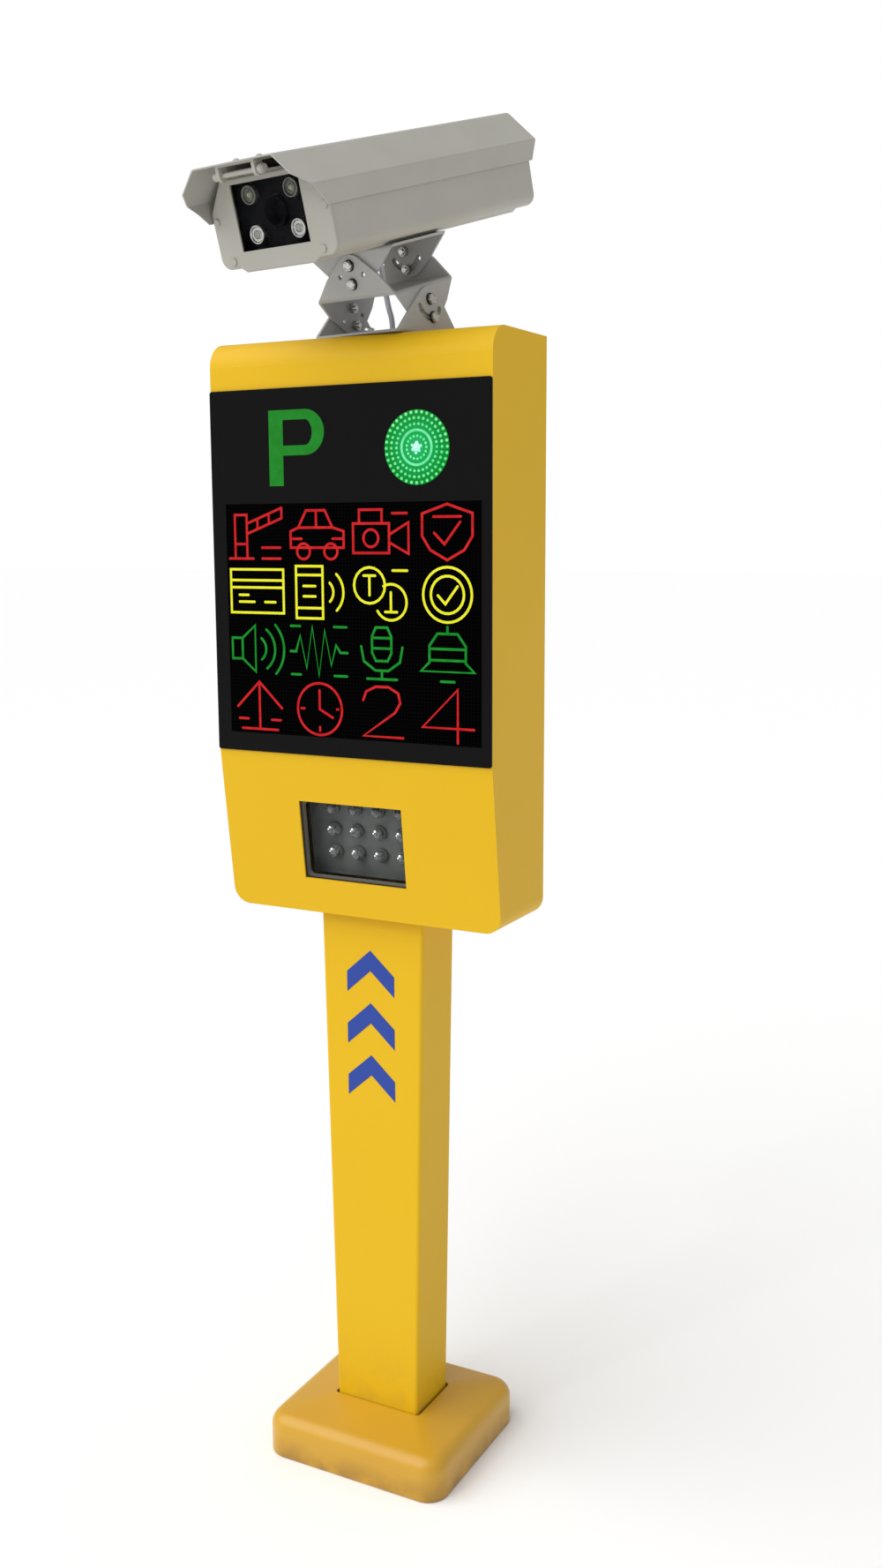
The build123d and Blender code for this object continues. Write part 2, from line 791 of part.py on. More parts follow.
def make_pan_bolts():
    bolts = []
    for x, y in pan_bolt_places():
        grip = channel_sheet + sheet
        bolts.append(Pos(x, y, cabinet_top + channel_sheet) * hex_bolt(pan_bolt_r, grip))
    return group(bolts)


def bored_ear_pair(width, length, pivot, end_offset, end_radius, clamp_side):
    """Channel with plain holes: the pivot, the clamp bolt and a small hole to each side.

    The clamp bolt sits below the pivot on a standing ear (-1) and beyond it on a hanging one (1).
    """
    part = eared_channel(width, length, pivot, end_offset, end_radius)
    for side in (-1, 1):
        x0 = side * width / 2
        part -= bar_x(bolt_r + running_gap, x0 - 6, x0 + 6, 0, pivot)
        for angle, radius in ((0, bolt_r + running_gap), (peep_angle, peep_hole_r), (-peep_angle, peep_hole_r)):
            turn = math.radians(angle)
            y = clamp_radius * math.sin(turn)
            z = clamp_radius * math.cos(turn)
            part -= bar_x(radius, x0 - 6, x0 + 6, y, pivot + clamp_side * z)
    return part


def make_cross_bracket():
    half = channel_sheet / 2
    up = Pos(0, 0, -half) * Rot(0, 0, 90) * bored_ear_pair(
        cross_length, cross_width, upper_pivot_height + half, cross_end_drop, cross_end_r, -1)
    down = Pos(0, 0, half) * Rot(180, 0, 0) * bored_ear_pair(
        cross_width, cross_length, pivot_drop + half, 0, hanging_end, 1)
    cross = up + down
    return cross_frame * (cross - bar_z(cable_r + 1, -5, 5))


def make_top_channel():
    top = eared_channel(top_width, top_length, pivot_drop, 0, hanging_end)
    for side in (-1, 1):
        x0 = side * top_width / 2
        top -= bar_x(bolt_r + running_gap, x0 - 6, x0 + 6, 0, pivot_drop)
        slot = arc_slot(clamp_radius, slot_half_width, 90 - slot_half_angle, 90 + slot_half_angle)
        top -= Pos(x0, 0, pivot_drop) * extrude(stand_across_x(slot), 6, both=True)
    top -= bar_z(cable_r + 6, -1, 5)
    return roll_frame * Pos(0, 0, pivot_drop) * Rot(180, 0, 90) * top


def make_tier_bolts(frame, outer_face, grip, across_x):
    """Two pivot bolts and two clamp bolts, their heads outside the bracket's ears."""
    bolts = []
    for side in (-1, 1):
        for drop in (0, -clamp_radius):
            bolt = Pos(0, 0, outer_face) * hex_bolt(bolt_r, grip)
            if across_x:
                turned = Rot(0, 90 * side, 0) * bolt
            else:
                turned = Rot(-90 * side, 0, 0) * bolt
            bolts.append(frame * Pos(0, 0, drop) * turned)
    return group(bolts)


def cable_tube(points, radii):
    """A round cable along straight runs joined by tangent arcs."""
    path = FilletPolyline(*points, radius=radii) if radii else Polyline(*points)
    section = Plane(path @ 0, z_dir=path % 0) * Circle(cable_r)
    return sweep(section, path=path)


def make_lower_cable():
    cross_centre = cross_frame.position - pan_frame.position
    local = Location((0, 0, 0), (0, 0, -pan_rest)) * Pos(*cross_centre)
    top = local.position
    points = [(7, 0, -50), (7, 0, 4), (2.5, top.Y * 0.4, 34), (top.X, top.Y, top.Z)]
    return pan_frame * cable_tube(points, [90, 70])


def make_upper_cable():
    tube = bar_z(cable_r, 2.5, upper_pivot_height + pivot_drop + housing_floor - 1)
    return cross_frame * tube


# ---------------------------------------------------------------- camera housing
def trough_outline(inset, top):
    """Section of the lower housing: flat floor, rounded lower corners, upright sides."""
    half = housing_half - inset
    low = housing_floor + inset
    face = make_face(Polyline((-half, low), (half, low), (half, top), (-half, top), close=True))
    return fillet(face.vertices().group_by(Axis.Y)[0], housing_corner - inset)


def make_housing_body():
    length = housing_front + housing_rear - 2 * front_thick
    centre = (housing_rear - housing_front) / 2
    outer = extrude(stand_across_y(trough_outline(0, seam_height)), length / 2, both=True)
    inner = extrude(stand_across_y(trough_outline(housing_wall, seam_height + 5)), length / 2 + 1, both=True)
    body = Pos(0, centre, 0) * (outer - inner)
    body -= bar_z(cable_r + 4, 0, 12, 0, -housing_shift)
    return housing_frame * body


def rail_outline(inset):
    """Section of the shallow step under the floor, narrower at its foot."""
    low = inset
    high = housing_floor + (1 if inset else 0)
    top = rail_half_top - 2 * inset
    foot = rail_half_foot - 2 * inset
    return make_face(Polyline((-foot, low), (foot, low), (top, high), (-top, high), close=True))


def make_housing_rail():
    """Folded step that runs under the whole trough and bolts to the bracket."""
    length = housing_front + housing_rear - 2 * front_thick
    centre = (housing_rear - housing_front) / 2
    outer = extrude(stand_across_y(rail_outline(0)), length / 2, both=True)
    inner = extrude(stand_across_y(rail_outline(rail_wall)), length / 2 - rail_wall, both=True)
    rail = Pos(0, centre, 0) * (outer - inner)
    rail -= bar_z(cable_r + 4, -1, 12, 0, -housing_shift)
    return housing_frame * rail


def end_plate_outline():
    """Outline shared by the two end plates: rounded below, chamfered above."""
    half = housing_half
    points = [(-half, housing_floor), (half, housing_floor), (half, front_shoulder), (front_top_half, front_top),
              (-front_top_half, front_top), (-half, front_shoulder)]
    face = make_face(Polyline(*points, close=True))
    face = fillet(face.vertices().group_by(Axis.Y)[0], housing_corner)
    return stand_across_y(face + rail_outline(0))


def screw_places():
    high_x = housing_half - 6
    low_x = housing_half - 18
    return ((-high_x, 51.5), (high_x, 51.5), (-low_x, 12), (low_x, 12))


def make_front_plate():
    plate = Pos(0, -housing_front + front_thick, 0) * extrude(end_plate_outline(), front_thick)
    plate = fillet(plate.faces().sort_by(Axis.Y)[0].edges(), plate_edge_round)
    plate -= block(-glass_half, glass_half, -housing_front - 1, -housing_front + 10, glass_low, glass_high)
    plate -= block(-glass_half - 3, glass_half + 3, -housing_front + 1.5, -housing_front + 10,
                   glass_low - 3, glass_high + 2)
    for x, z in screw_places():
        plate -= bar_y(2.05, -housing_front - 1, -housing_front + 10, x, z)
    return housing_frame * plate


def make_front_screws():
    screws = []
    for x, z in screw_places():
        low = z < 30
        screw = bar_y(3.6, -housing_front - 1.6, -housing_front, x, z)
        screw += bar_y(2, -housing_front, -housing_front + (4.9 if low else 4.5), x, z)
        screws.append(housing_frame * screw)
    return group(screws)


def make_front_glass():
    y0 = -housing_front + 1.5
    glass = block(-glass_half - 2.9, glass_half + 2.9, y0, y0 + glass_thick, glass_low - 2.9, glass_high + 1.9)
    return housing_frame * glass


def optics_centre():
    return (glass_low + glass_high) / 2 + 1


def make_lamp_board():
    y0 = -housing_front + board_setback
    board = block(-54, 54, y0, y0 + 2, glass_low - 6, glass_high + 3)
    board -= bar_y(camera_barrel_r + 1.2, y0 - 1, y0 + 3, 0, optics_centre())
    for side in (-1, 1):
        board += block(side * 50 - 4, side * 50 + 4, y0, y0 + 2, housing_floor + housing_wall, glass_low)
        for row in (-1, 1):
            board -= bar_y(reflector_r - 1, y0 - 1, y0 + 3, side * reflector_x, optics_centre() + row * reflector_z)
    return housing_frame * board


def make_reflectors():
    """Four lamp cups: a barrel in front of the board, a narrower body through it, a conical bowl."""
    seat = -housing_front + board_setback
    front = seat - reflector_proud
    cups = []
    for side in (-1, 1):
        for row in (-1, 1):
            x = side * reflector_x
            z = optics_centre() + row * reflector_z
            cup = bar_y(reflector_r, front, seat, x, z) + bar_y(reflector_r - 1.1, seat, seat + 10, x, z)
            hollow = Pos(x, front + 6, z) * Rot(90, 0, 0) * Cone(4, reflector_r - 1.5, 12.4)
            cups.append(housing_frame * (cup - hollow))
    return group(cups)


def make_camera_module():
    z = optics_centre()
    floor = housing_floor + housing_wall
    body = block(-32, 32, -92, 30, z - 30, z + 30)
    body = fillet(body.edges().filter_by(Axis.Y), 4)
    body += bar_y(camera_barrel_r - 1, -136, -92, 0, z)
    body += block(-24, 24, -80, 10, floor, z - 30)
    return housing_frame * body


def make_focus_ring():
    z = optics_centre()
    ring = bar_y(camera_barrel_r + 4, -128, -112, 0, z)
    for index in range(24):
        turn = math.radians(index * 15)
        x = (camera_barrel_r + 4.4) * math.cos(turn)
        up = z + (camera_barrel_r + 4.4) * math.sin(turn)
        ring -= bar_y(1, -130, -110, x, up)
    ring -= bar_y(camera_barrel_r - 1 + running_gap, -130, -110, 0, z)
    return housing_frame * ring


def make_lens_barrel():
    z = optics_centre()
    barrel = bar_y(camera_barrel_r, -housing_front + 8, -136, 0, z)
    barrel -= Pos(0, -housing_front + 13, z) * Rot(90, 0, 0) * Cone(8, camera_barrel_r - 1.5, 11)
    return housing_frame * barrel


def make_rear_plate():
    plate = Pos(0, housing_rear, 0) * extrude(end_plate_outline(), front_thick)
    plate = fillet(plate.faces().sort_by(Axis.Y)[-1].edges(), plate_edge_round)
    for x in (-28, 28):
        plate -= bar_y(8.05, housing_rear - 10, housing_rear + 5, x, 28)
    return housing_frame * plate


def make_rear_glands():
    glands = []
    for x in (-28, 28):
        gland = bar_y(8, housing_rear - 12, housing_rear, x, 28) + bar_y(11, housing_rear, housing_rear + 4, x, 28)
        gland += bar_y(8.5, housing_rear + 4, housing_rear + 14, x, 28)
        gland += bar_y(10.5, housing_rear - 9, housing_rear - 5.1, x, 28)
        glands.append(housing_frame * gland)
    return group(glands)


def shield_outline(inset):
    """Closed section of the sunshield's outside with its bends, drawn in by the sheet when asked."""
    foot = seam_height - (1 if inset else 0)
    points = [(shield_foot - inset, foot), (shield_wide - inset, shield_wide_height),
              (shield_roof - inset * 0.5, shield_roof_height - inset)]
    mirrored = [(-x, z) for x, z in reversed(points)]
    face = make_face(Polyline(*points, *mirrored, close=True))
    levels = face.vertices().group_by(Axis.Y)
    face = fillet(levels[-1], shield_roof_bend - inset)
    wide = [corner for corner in face.vertices() if abs(corner.Y - shield_wide_height) < 0.01]
    return fillet(wide, shield_side_bend - inset)


def make_sunshield():
    length = shield_front + shield_rear
    centre = (shield_rear - shield_front) / 2
    outer = extrude(stand_across_y(shield_outline(0)), length / 2, both=True)
    inner = extrude(stand_across_y(shield_outline(shield_wall)), length / 2 + 1, both=True)
    shield = Pos(0, centre, 0) * (outer - inner)
    front = -shield_front
    low = seam_height - 5
    shield -= side_prism([(front - 1, low), (front + visor_foot_cut, low), (front + visor_foot_cut, seam_height),
                          (front + visor_cheek_cut, visor_cheek_height), (front, visor_corner_height),
                          (front - 1, visor_corner_height)], -200, 200)
    rear = shield_rear
    shield -= side_prism([(rear + 1, low), (rear - shield_rear_cut, low), (rear, shield_wide_height),
                          (rear + 1, shield_wide_height)], -200, 200)
    return housing_frame * shield


def hinge_screw_places():
    for side in (-1, 1):
        yield side * hinge_screw_x, rod_y + hinge_screw_back


def make_hinge_frame():
    """Open frame hung from the sunshield's roof by two screws; the rod passes through its legs."""
    roof = shield_roof_height - shield_wall
    frame = block(-cheek_outer, cheek_outer, rod_y - 6, rod_y + hinge_screw_back + 7, roof - 2, roof)
    for side in (-1, 1):
        x0, x1 = sorted((side * cheek_outer, side * cheek_inner))
        frame += block(x0, x1, rod_y - 6, rod_y + 6, rod_z, roof)
        frame += bar_x(6, x0, x1, rod_y, rod_z)
    for x, y in hinge_screw_places():
        dome = Pos(x, y, shield_roof_height - 2) * Sphere(hinge_screw_r)
        frame += dome - bar_z(hinge_screw_r + 1, 0, shield_roof_height, x, y)
        frame += bar_z(1.5, roof - 1, shield_roof_height + 1, x, y)
    frame -= bar_x(rod_r + running_gap, -40, 40, rod_y, rod_z)
    return housing_frame * frame


def drill_roof(shield):
    """Holes for the two screws that hold the hinge frame."""
    for x, y in hinge_screw_places():
        shield -= housing_frame * bar_z(1.5, shield_roof_height - 10, shield_roof_height + 5, x, y)
    return shield


def make_hinge_yoke():
    """Arms from the front plate's top edge that hold the ends of the rod."""
    low = front_top
    boss_inner = cheek_outer + 0.4
    yoke = block(-rod_half, rod_half, -housing_front + plate_edge_round, -housing_front + 22, low, low + 2.5)
    for side in (-1, 1):
        x0, x1 = sorted((side * rod_half, side * boss_inner))
        arm = block(x0, x1, rod_y, -housing_front + 4, low, low + 2.5)
        arm += bar_x(boss_r, x0, x1, rod_y, rod_z)
        yoke += arm
    yoke -= bar_x(rod_r + running_gap, -40, 40, rod_y, rod_z)
    return housing_frame * yoke


def make_hinge_rod():
    rod = bar_x(rod_r, -rod_half - 2, rod_half + 2, rod_y, rod_z)
    for side in (-1, 1):
        x0, x1 = sorted((side * (rod_half + 0.1), side * (rod_half + 1.6)))
        rod += bar_x(rod_r + 1.4, x0, x1, rod_y, rod_z)
    return housing_frame * rod


# ---------------------------------------------------------------- every sub-part, by node name
cross_outer = cross_width / 2 + ear_gap + channel_sheet
parts = {
    "base_plate": make_base_plate(),
    "post": make_post(),
    "post_head_plate": make_post_head(),
    "base_cover": make_base_cover(),
    "cabinet_bolts": make_cabinet_bolts(),
    "cabinet_shell": make_cabinet_shell(),
    "display_panel": make_display_panel(),
    "led_module_lower": make_led_module(0),
    "led_module_upper": make_led_module(1),
    "display_frame": make_display_frame(),
    "parking_sign_board": make_sign_board(),
    "signal_lamp": make_signal_lamp(),
    "fill_window_frame": make_window_frame(),
    "fill_window_glass": make_window_glass(),
    "fill_lamp_tray": make_fill_tray(),
    "fill_lamp_board": make_fill_board(),
    "fill_lamp_lenses": make_fill_lenses(),
    "fill_lamp_bracket": make_fill_bracket(),
    "equipment_plate": make_equipment_plate(),
    "power_supply": make_power_supply(),
    "controller_board": make_controller_board(),
    "din_rail": make_din_rail(),
    "terminal_block": make_terminal_block(),
    "breaker_body": make_breaker_body(),
    "breaker_lever": make_breaker_lever(),
    "speaker": make_speaker(),
    "rear_door": make_rear_door(),
    "door_gasket": make_door_gasket(),
    "door_hinge_fixed_leaves": make_fixed_leaves(),
    "door_hinge_leaves": make_door_leaves(),
    "door_hinge_pins": make_hinge_pins(),
    "lock_housing": make_lock_housing(),
    "lock_nut": make_lock_nut(),
    "lock_plug": make_lock_plug(),
    "lock_cam": make_lock_cam(),
    "pan_bush": make_pan_bush(),
    "base_channel": make_base_channel(),
    "pan_bolts": make_pan_bolts(),
    "cross_bracket": make_cross_bracket(),
    "pitch_bolts": make_tier_bolts(pitch_frame, cross_outer, 2 * channel_sheet + ear_gap, True),
    "top_channel": make_top_channel(),
    "roll_bolts": make_tier_bolts(roll_frame, cross_length / 2, 2 * channel_sheet + ear_gap, False),
    "lower_cable": make_lower_cable(),
    "upper_cable": make_upper_cable(),
    "housing_body": make_housing_body(),
    "housing_rail": make_housing_rail(),
    "front_plate": make_front_plate(),
    "front_plate_screws": make_front_screws(),
    "front_glass": make_front_glass(),
    "lamp_board": make_lamp_board(),
    "lamp_reflectors": make_reflectors(),
    "camera_module": make_camera_module(),
    "lens_barrel": make_lens_barrel(),
    "focus_ring": make_focus_ring(),
    "rear_plate": make_rear_plate(),
    "rear_glands": make_rear_glands(),
    "sunshield": drill_roof(make_sunshield()),
    "sunshield_hinge_frame": make_hinge_frame(),
    "hinge_yoke": make_hinge_yoke(),
    "hinge_rod": make_hinge_rod(),
}

os.makedirs("parts", exist_ok=True)
for name, shape in parts.items():
    export_step(shape, f"parts/{name}.step")
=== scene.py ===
"""Looks of the parking lane terminal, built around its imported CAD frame. Metres, +Z up."""
import json
import math

import bmesh
import bpy
from mathutils import Matrix, Vector


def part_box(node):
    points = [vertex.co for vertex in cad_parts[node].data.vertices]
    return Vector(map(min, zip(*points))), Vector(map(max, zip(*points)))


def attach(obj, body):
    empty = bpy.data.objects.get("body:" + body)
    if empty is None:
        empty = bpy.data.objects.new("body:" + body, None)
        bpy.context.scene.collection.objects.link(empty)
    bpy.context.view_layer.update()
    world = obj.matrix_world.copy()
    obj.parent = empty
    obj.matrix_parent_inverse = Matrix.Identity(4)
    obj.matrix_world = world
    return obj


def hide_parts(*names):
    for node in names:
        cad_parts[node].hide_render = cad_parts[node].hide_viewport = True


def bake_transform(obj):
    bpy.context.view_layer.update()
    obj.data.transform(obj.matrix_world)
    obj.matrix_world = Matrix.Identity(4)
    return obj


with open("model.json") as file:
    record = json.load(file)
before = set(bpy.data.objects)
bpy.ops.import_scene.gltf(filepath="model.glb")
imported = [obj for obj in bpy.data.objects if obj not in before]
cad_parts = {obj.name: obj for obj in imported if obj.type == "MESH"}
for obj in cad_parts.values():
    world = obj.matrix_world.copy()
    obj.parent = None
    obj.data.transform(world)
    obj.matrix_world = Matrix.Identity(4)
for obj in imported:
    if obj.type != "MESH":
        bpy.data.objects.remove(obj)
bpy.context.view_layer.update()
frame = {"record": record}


# ------------------------------------------------------------------ lane floor, studio light, camera
# A plain pale floor under an even white studio: one very wide lamp over the kerb side,
# a small spark lamp for the glints, and a portrait camera a little to the right.
floor_finish = bpy.data.materials.new("pale_floor")
floor_finish.use_nodes = True
floor_shader = floor_finish.node_tree.nodes["Principled BSDF"]
floor_shader.inputs["Base Color"].default_value = (0.955, 0.955, 0.955, 1)
floor_shader.inputs["Roughness"].default_value = 0.95
floor_shader.inputs["Specular IOR Level"].default_value = 0.05
floor_mesh = bpy.data.meshes.new("floor")
floor_reach = 40.0
floor_mesh.from_pydata([(-floor_reach, -floor_reach, 0), (floor_reach, -floor_reach, 0),
                        (floor_reach, floor_reach, 0), (-floor_reach, floor_reach, 0)], [], [(0, 1, 2, 3)])
floor = bpy.data.objects.new("floor", floor_mesh)
floor.data.materials.append(floor_finish)
bpy.context.collection.objects.link(floor)

scene = bpy.context.scene
scene.view_settings.view_transform = "Standard"
scene.view_settings.look = "None"
world = bpy.data.worlds.new("studio")
scene.world = world
world.use_nodes = True
sky = world.node_tree.nodes["Background"]
sky.inputs["Color"].default_value = (1, 1, 1, 1)
sky.inputs["Strength"].default_value = 0.5
backdrop = world.node_tree.nodes.new("ShaderNodeBackground")
backdrop.inputs["Color"].default_value = (1, 1, 1, 1)
backdrop.inputs["Strength"].default_value = 1.0
seen = world.node_tree.nodes.new("ShaderNodeLightPath")
choice = world.node_tree.nodes.new("ShaderNodeMixShader")
world.node_tree.links.new(seen.outputs["Is Camera Ray"], choice.inputs[0])
world.node_tree.links.new(sky.outputs[0], choice.inputs[1])
world.node_tree.links.new(backdrop.outputs[0], choice.inputs[2])
world.node_tree.links.new(choice.outputs[0], world.node_tree.nodes["World Output"].inputs[0])


def hang_lamp(name, kind, place, target, spread, power):
    """A lamp of one kind that points from its place at a target."""
    data = bpy.data.lights.new(name, kind)
    data.energy = power
    if kind == "SUN":
        data.angle = spread
    else:
        data.size = spread
    lamp = bpy.data.objects.new(name, data)
    lamp.location = place
    lamp.rotation_euler = (Vector(target) - Vector(place)).to_track_quat("-Z", "Y").to_euler()
    bpy.context.collection.objects.link(lamp)


hang_lamp("wide_lamp", "SUN", (-2.3, -3.3, 4.6), (0, 0, 0), math.radians(70), 2.3)
hang_lamp("spark_lamp", "AREA", (-1.3, -3.4, 3.3), (0, 0, 1.0), 0.22, 9)

camera_data = bpy.data.cameras.new("camera")
camera_data.lens = 34.91
camera_data.sensor_width = 36
camera_data.clip_end = 90
camera = bpy.data.objects.new("camera", camera_data)
camera_place = Vector((0.8663, -1.5026, 1.1002))
camera_yaw, camera_pitch, camera_roll = 0.48676, 0.16252, -0.00429
ahead = Vector((-math.sin(camera_yaw) * math.cos(camera_pitch),
                math.cos(camera_yaw) * math.cos(camera_pitch), -math.sin(camera_pitch)))
level = ahead.cross(Vector((0, 0, 1))).normalized()
upward = level.cross(ahead)
right = math.cos(camera_roll) * level + math.sin(camera_roll) * upward
overhead = math.cos(camera_roll) * upward - math.sin(camera_roll) * level
camera.matrix_world = Matrix((
    (right.x, overhead.x, -ahead.x, camera_place.x),
    (right.y, overhead.y, -ahead.y, camera_place.y),
    (right.z, overhead.z, -ahead.z, camera_place.z),
    (0, 0, 0, 1)))
bpy.context.collection.objects.link(camera)
scene.camera = camera


# ------------------------------------------------------------------ floor plate and galvanised steelwork
# Hot-dip galvanised plate welded under the post, and the zinc-plated racks inside the
# cabinet: grey zinc with crystalline spangle.
class Wire:
    """One output socket of a material, with arithmetic on it."""

    def __init__(self, tree, socket):
        self.tree = tree
        self.socket = socket

    def maths(self, operation, other):
        node = self.tree.nodes.new("ShaderNodeMath")
        node.operation = operation
        for place, value in zip(node.inputs, (self, other)):
            if isinstance(value, Wire):
                self.tree.links.new(value.socket, place)
            else:
                place.default_value = value
        return Wire(self.tree, node.outputs[0])

    def __add__(self, other):
        return self.maths("ADD", other)

    def __mul__(self, other):
        return self.maths("MULTIPLY", other)

    def __sub__(self, other):
        return self.maths("SUBTRACT", other)


class Finish:
    """A material whose shader is a Principled one, fed by wires."""

    def __init__(self, name, **constants):
        self.material = bpy.data.materials.new(name)
        self.material.use_nodes = True
        self.tree = self.material.node_tree
        self.shader = self.tree.nodes["Principled BSDF"]
        for socket, value in constants.items():
            self.shader.inputs[socket.replace("_", " ")].default_value = value
        self.place = self.node("ShaderNodeTexCoord", out="Object")

    def node(self, kind, settings=None, sockets=None, out=0):
        node = self.tree.nodes.new(kind)
        for name, value in (settings or {}).items():
            setattr(node, name, value)
        for name, value in (sockets or {}).items():
            if isinstance(value, Wire):
                self.tree.links.new(value.socket, node.inputs[name])
            else:
                node.inputs[name].default_value = value
        return Wire(self.tree, node.outputs[out])

    def ramp(self, wire, low, high):
        """A wire stretched so that low gives 0 and high gives 1."""
        return self.node("ShaderNodeMapRange", {"clamp": True},
                         {"Value": wire, "From Min": low, "From Max": high})

    def noise(self, scale, detail=3.0, rough=0.5, place=None):
        sockets = {"Vector": place or self.place, "Scale": scale, "Detail": detail, "Roughness": rough}
        return self.node("ShaderNodeTexNoise", None, sockets)

    def stretch(self, x, y, z):
        """The object's place, scaled by axis, for grain and streaks."""
        return self.node("ShaderNodeVectorMath", {"operation": "MULTIPLY"}, {0: self.place, 1: (x, y, z)})

    def reach(self, centre):
        """Distance from a point."""
        sockets = {0: self.place, 1: centre}
        return self.node("ShaderNodeVectorMath", {"operation": "DISTANCE"}, sockets, out="Value")

    def blend(self, share, first, second):
        """A colour mix: first where share is 0, second where it is 1."""
        return self.node("ShaderNodeMix", {"data_type": "RGBA"}, {0: share, 6: first, 7: second}, out=2)

    def part(self, axis):
        """One coordinate of the object's place."""
        return self.node("ShaderNodeSeparateXYZ", None, {0: self.place}, out=axis)

    def feed(self, socket, wire):
        self.tree.links.new(wire.socket, self.shader.inputs[socket])

    def skin(self, share, first, second):
        """Base colour between two paints."""
        self.feed("Base Color", self.blend(share, paint(*first), paint(*second)))

    def polish(self, scale, detail, depth, smoothest):
        """Roughness that wanders upwards from its smoothest value."""
        self.feed("Roughness", self.noise(scale, detail) * depth + smoothest)

    def bump(self, height, strength, distance):
        self.feed("Normal", self.node("ShaderNodeBump", None,
                                      {"Height": height, "Strength": strength, "Distance": distance}))


def mottled(name, grain, first, second, polish, stipple=None, **constants):
    """A finish whose colour and polish wander, with a fine stipple where one is given."""
    finish = Finish(name, **constants)
    finish.skin(finish.noise(*grain), first, second)
    finish.polish(*polish)
    if stipple:
        scale, detail, strength, distance = stipple
        finish.bump(finish.noise(scale, detail), strength, distance)
    return finish


def paint(red, green, blue):
    """A shader colour from red, green and blue display values of 0 to 255."""
    out = []
    for value in (red, green, blue):
        share = value / 255
        out.append(share / 12.92 if share <= 0.04045 else ((share + 0.055) / 1.055) ** 2.4)
    return (*out, 1)


def coat(finish, *nodes):
    """Gives CAD nodes' own objects a finish."""
    for node in nodes:
        thing = bpy.data.objects[node]
        if not thing.material_slots:
            thing.data.materials.append(finish.material)
        for place in thing.material_slots:
            place.material = finish.material


zinc = Finish("galvanised_steel", Metallic=0.85)
spangle = zinc.node("ShaderNodeTexVoronoi", None, {"Vector": zinc.place, "Scale": 160.0}, out="Color")
spangle_grey = zinc.node("ShaderNodeRGBToBW", None, {0: spangle})
zinc.skin(spangle_grey, (150, 153, 155), (186, 188, 190))
zinc.feed("Roughness", spangle_grey * 0.2 + 0.34)
zinc.bump(zinc.noise(300, 3), 0.1, 0.0004)
coat(zinc, "base_plate", "display_frame", "equipment_plate", "din_rail", "fill_lamp_bracket",
     "door_hinge_fixed_leaves", "door_hinge_leaves")


# ------------------------------------------------------------------ yellow powder coat: post, cabinet, door
# Folded sheet steel, welded, ground and powder coated in traffic yellow: an even satin
# colour with a faint orange-peel skin, and a little road dust at the post's foot.
yellow = Finish("yellow_powder_coat", Specular_IOR_Level=0.2)
drift = yellow.ramp(yellow.noise(3.1, 4), 0.3, 0.7)
foot_dust = yellow.ramp(yellow.part(2), 0.16, 0.05) * yellow.ramp(yellow.noise(30, 6, 0.65), 0.45, 0.75)
yellow_skin = yellow.blend(drift, paint(222, 178, 22), paint(219, 174, 20))
yellow.feed("Base Color", yellow.blend(foot_dust * 0.3, yellow_skin, paint(160, 128, 66)))
yellow.feed("Roughness", yellow.noise(14, 4) * 0.1 + 0.42 + foot_dust * 0.3)
yellow.bump(yellow.noise(620, 2, 0.4) + yellow.noise(7, 2) * 0.6, 0.04, 0.0005)
coat(yellow, "post", "post_head_plate", "cabinet_shell", "rear_door")


# ------------------------------------------------------------------ blue direction marks on the post
# Three arrowheads cut from blue film and rolled onto the post's front face, pointing up.
def make_piece(name, form, finish, body, smooth=False):
    """A new mesh piece with its finish and the body it rides on."""
    verts, faces = form
    mesh = bpy.data.meshes.new(name)
    mesh.from_pydata([tuple(v) for v in verts], [], faces)
    mesh.validate()
    shell = bmesh.new()
    shell.from_mesh(mesh)
    bmesh.ops.recalc_face_normals(shell, faces=shell.faces)
    if smooth:
        for edge in shell.edges:
            if len(edge.link_faces) == 2 and edge.calc_face_angle(0) > math.radians(38):
                edge.smooth = False
    shell.to_mesh(mesh)
    shell.free()
    for polygon in mesh.polygons:
        polygon.use_smooth = smooth
    thing = bpy.data.objects.new(name, mesh)
    thing.data.materials.append(finish.material)
    bpy.context.collection.objects.link(thing)
    if body:
        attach(thing, body)
    return thing


def stacked(rings):
    """A closed form through rings of the same number of points, capped at both ends."""
    count = len(rings[0])
    verts = [point for ring in rings for point in ring]
    faces = [tuple(range(count))[::-1], tuple(range(len(verts) - count, len(verts)))]
    for floor_index in range(len(rings) - 1):
        for index in range(count):
            a = floor_index * count + index
            b = floor_index * count + (index + 1) % count
            faces.append((a, b, b + count, a + count))
    return verts, faces


def slab(outline, low, high, bevel=0.0):
    """A flat plate from an outline of (u, v) points, its top edge drawn in by a bevel."""
    count = len(outline)
    rings = []
    for height, inset in ((low, 0.0), (high - bevel, 0.0), (high, bevel)):
        ring = []
        for index, (u, v) in enumerate(outline):
            here = Vector((u, v))
            along_in = (here - Vector(outline[index - 1])).normalized()
            along_out = (Vector(outline[(index + 1) % count]) - here).normalized()
            inward = Vector((-along_in.y - along_out.y, along_in.x + along_out.x))
            inward = inward / max(inward.length_squared, 1e-9) * 2 * inset
            ring.append((u + inward.x, v + inward.y, height))
        rings.append(ring)
    return stacked(rings)


def join_forms(forms):
    """Several (verts, faces) forms as one."""
    verts, faces = [], []
    for more_verts, more_faces in forms:
        start = len(verts)
        verts.extend(more_verts)
        faces.extend(tuple(index + start for index in face) for face in more_faces)
    return verts, faces


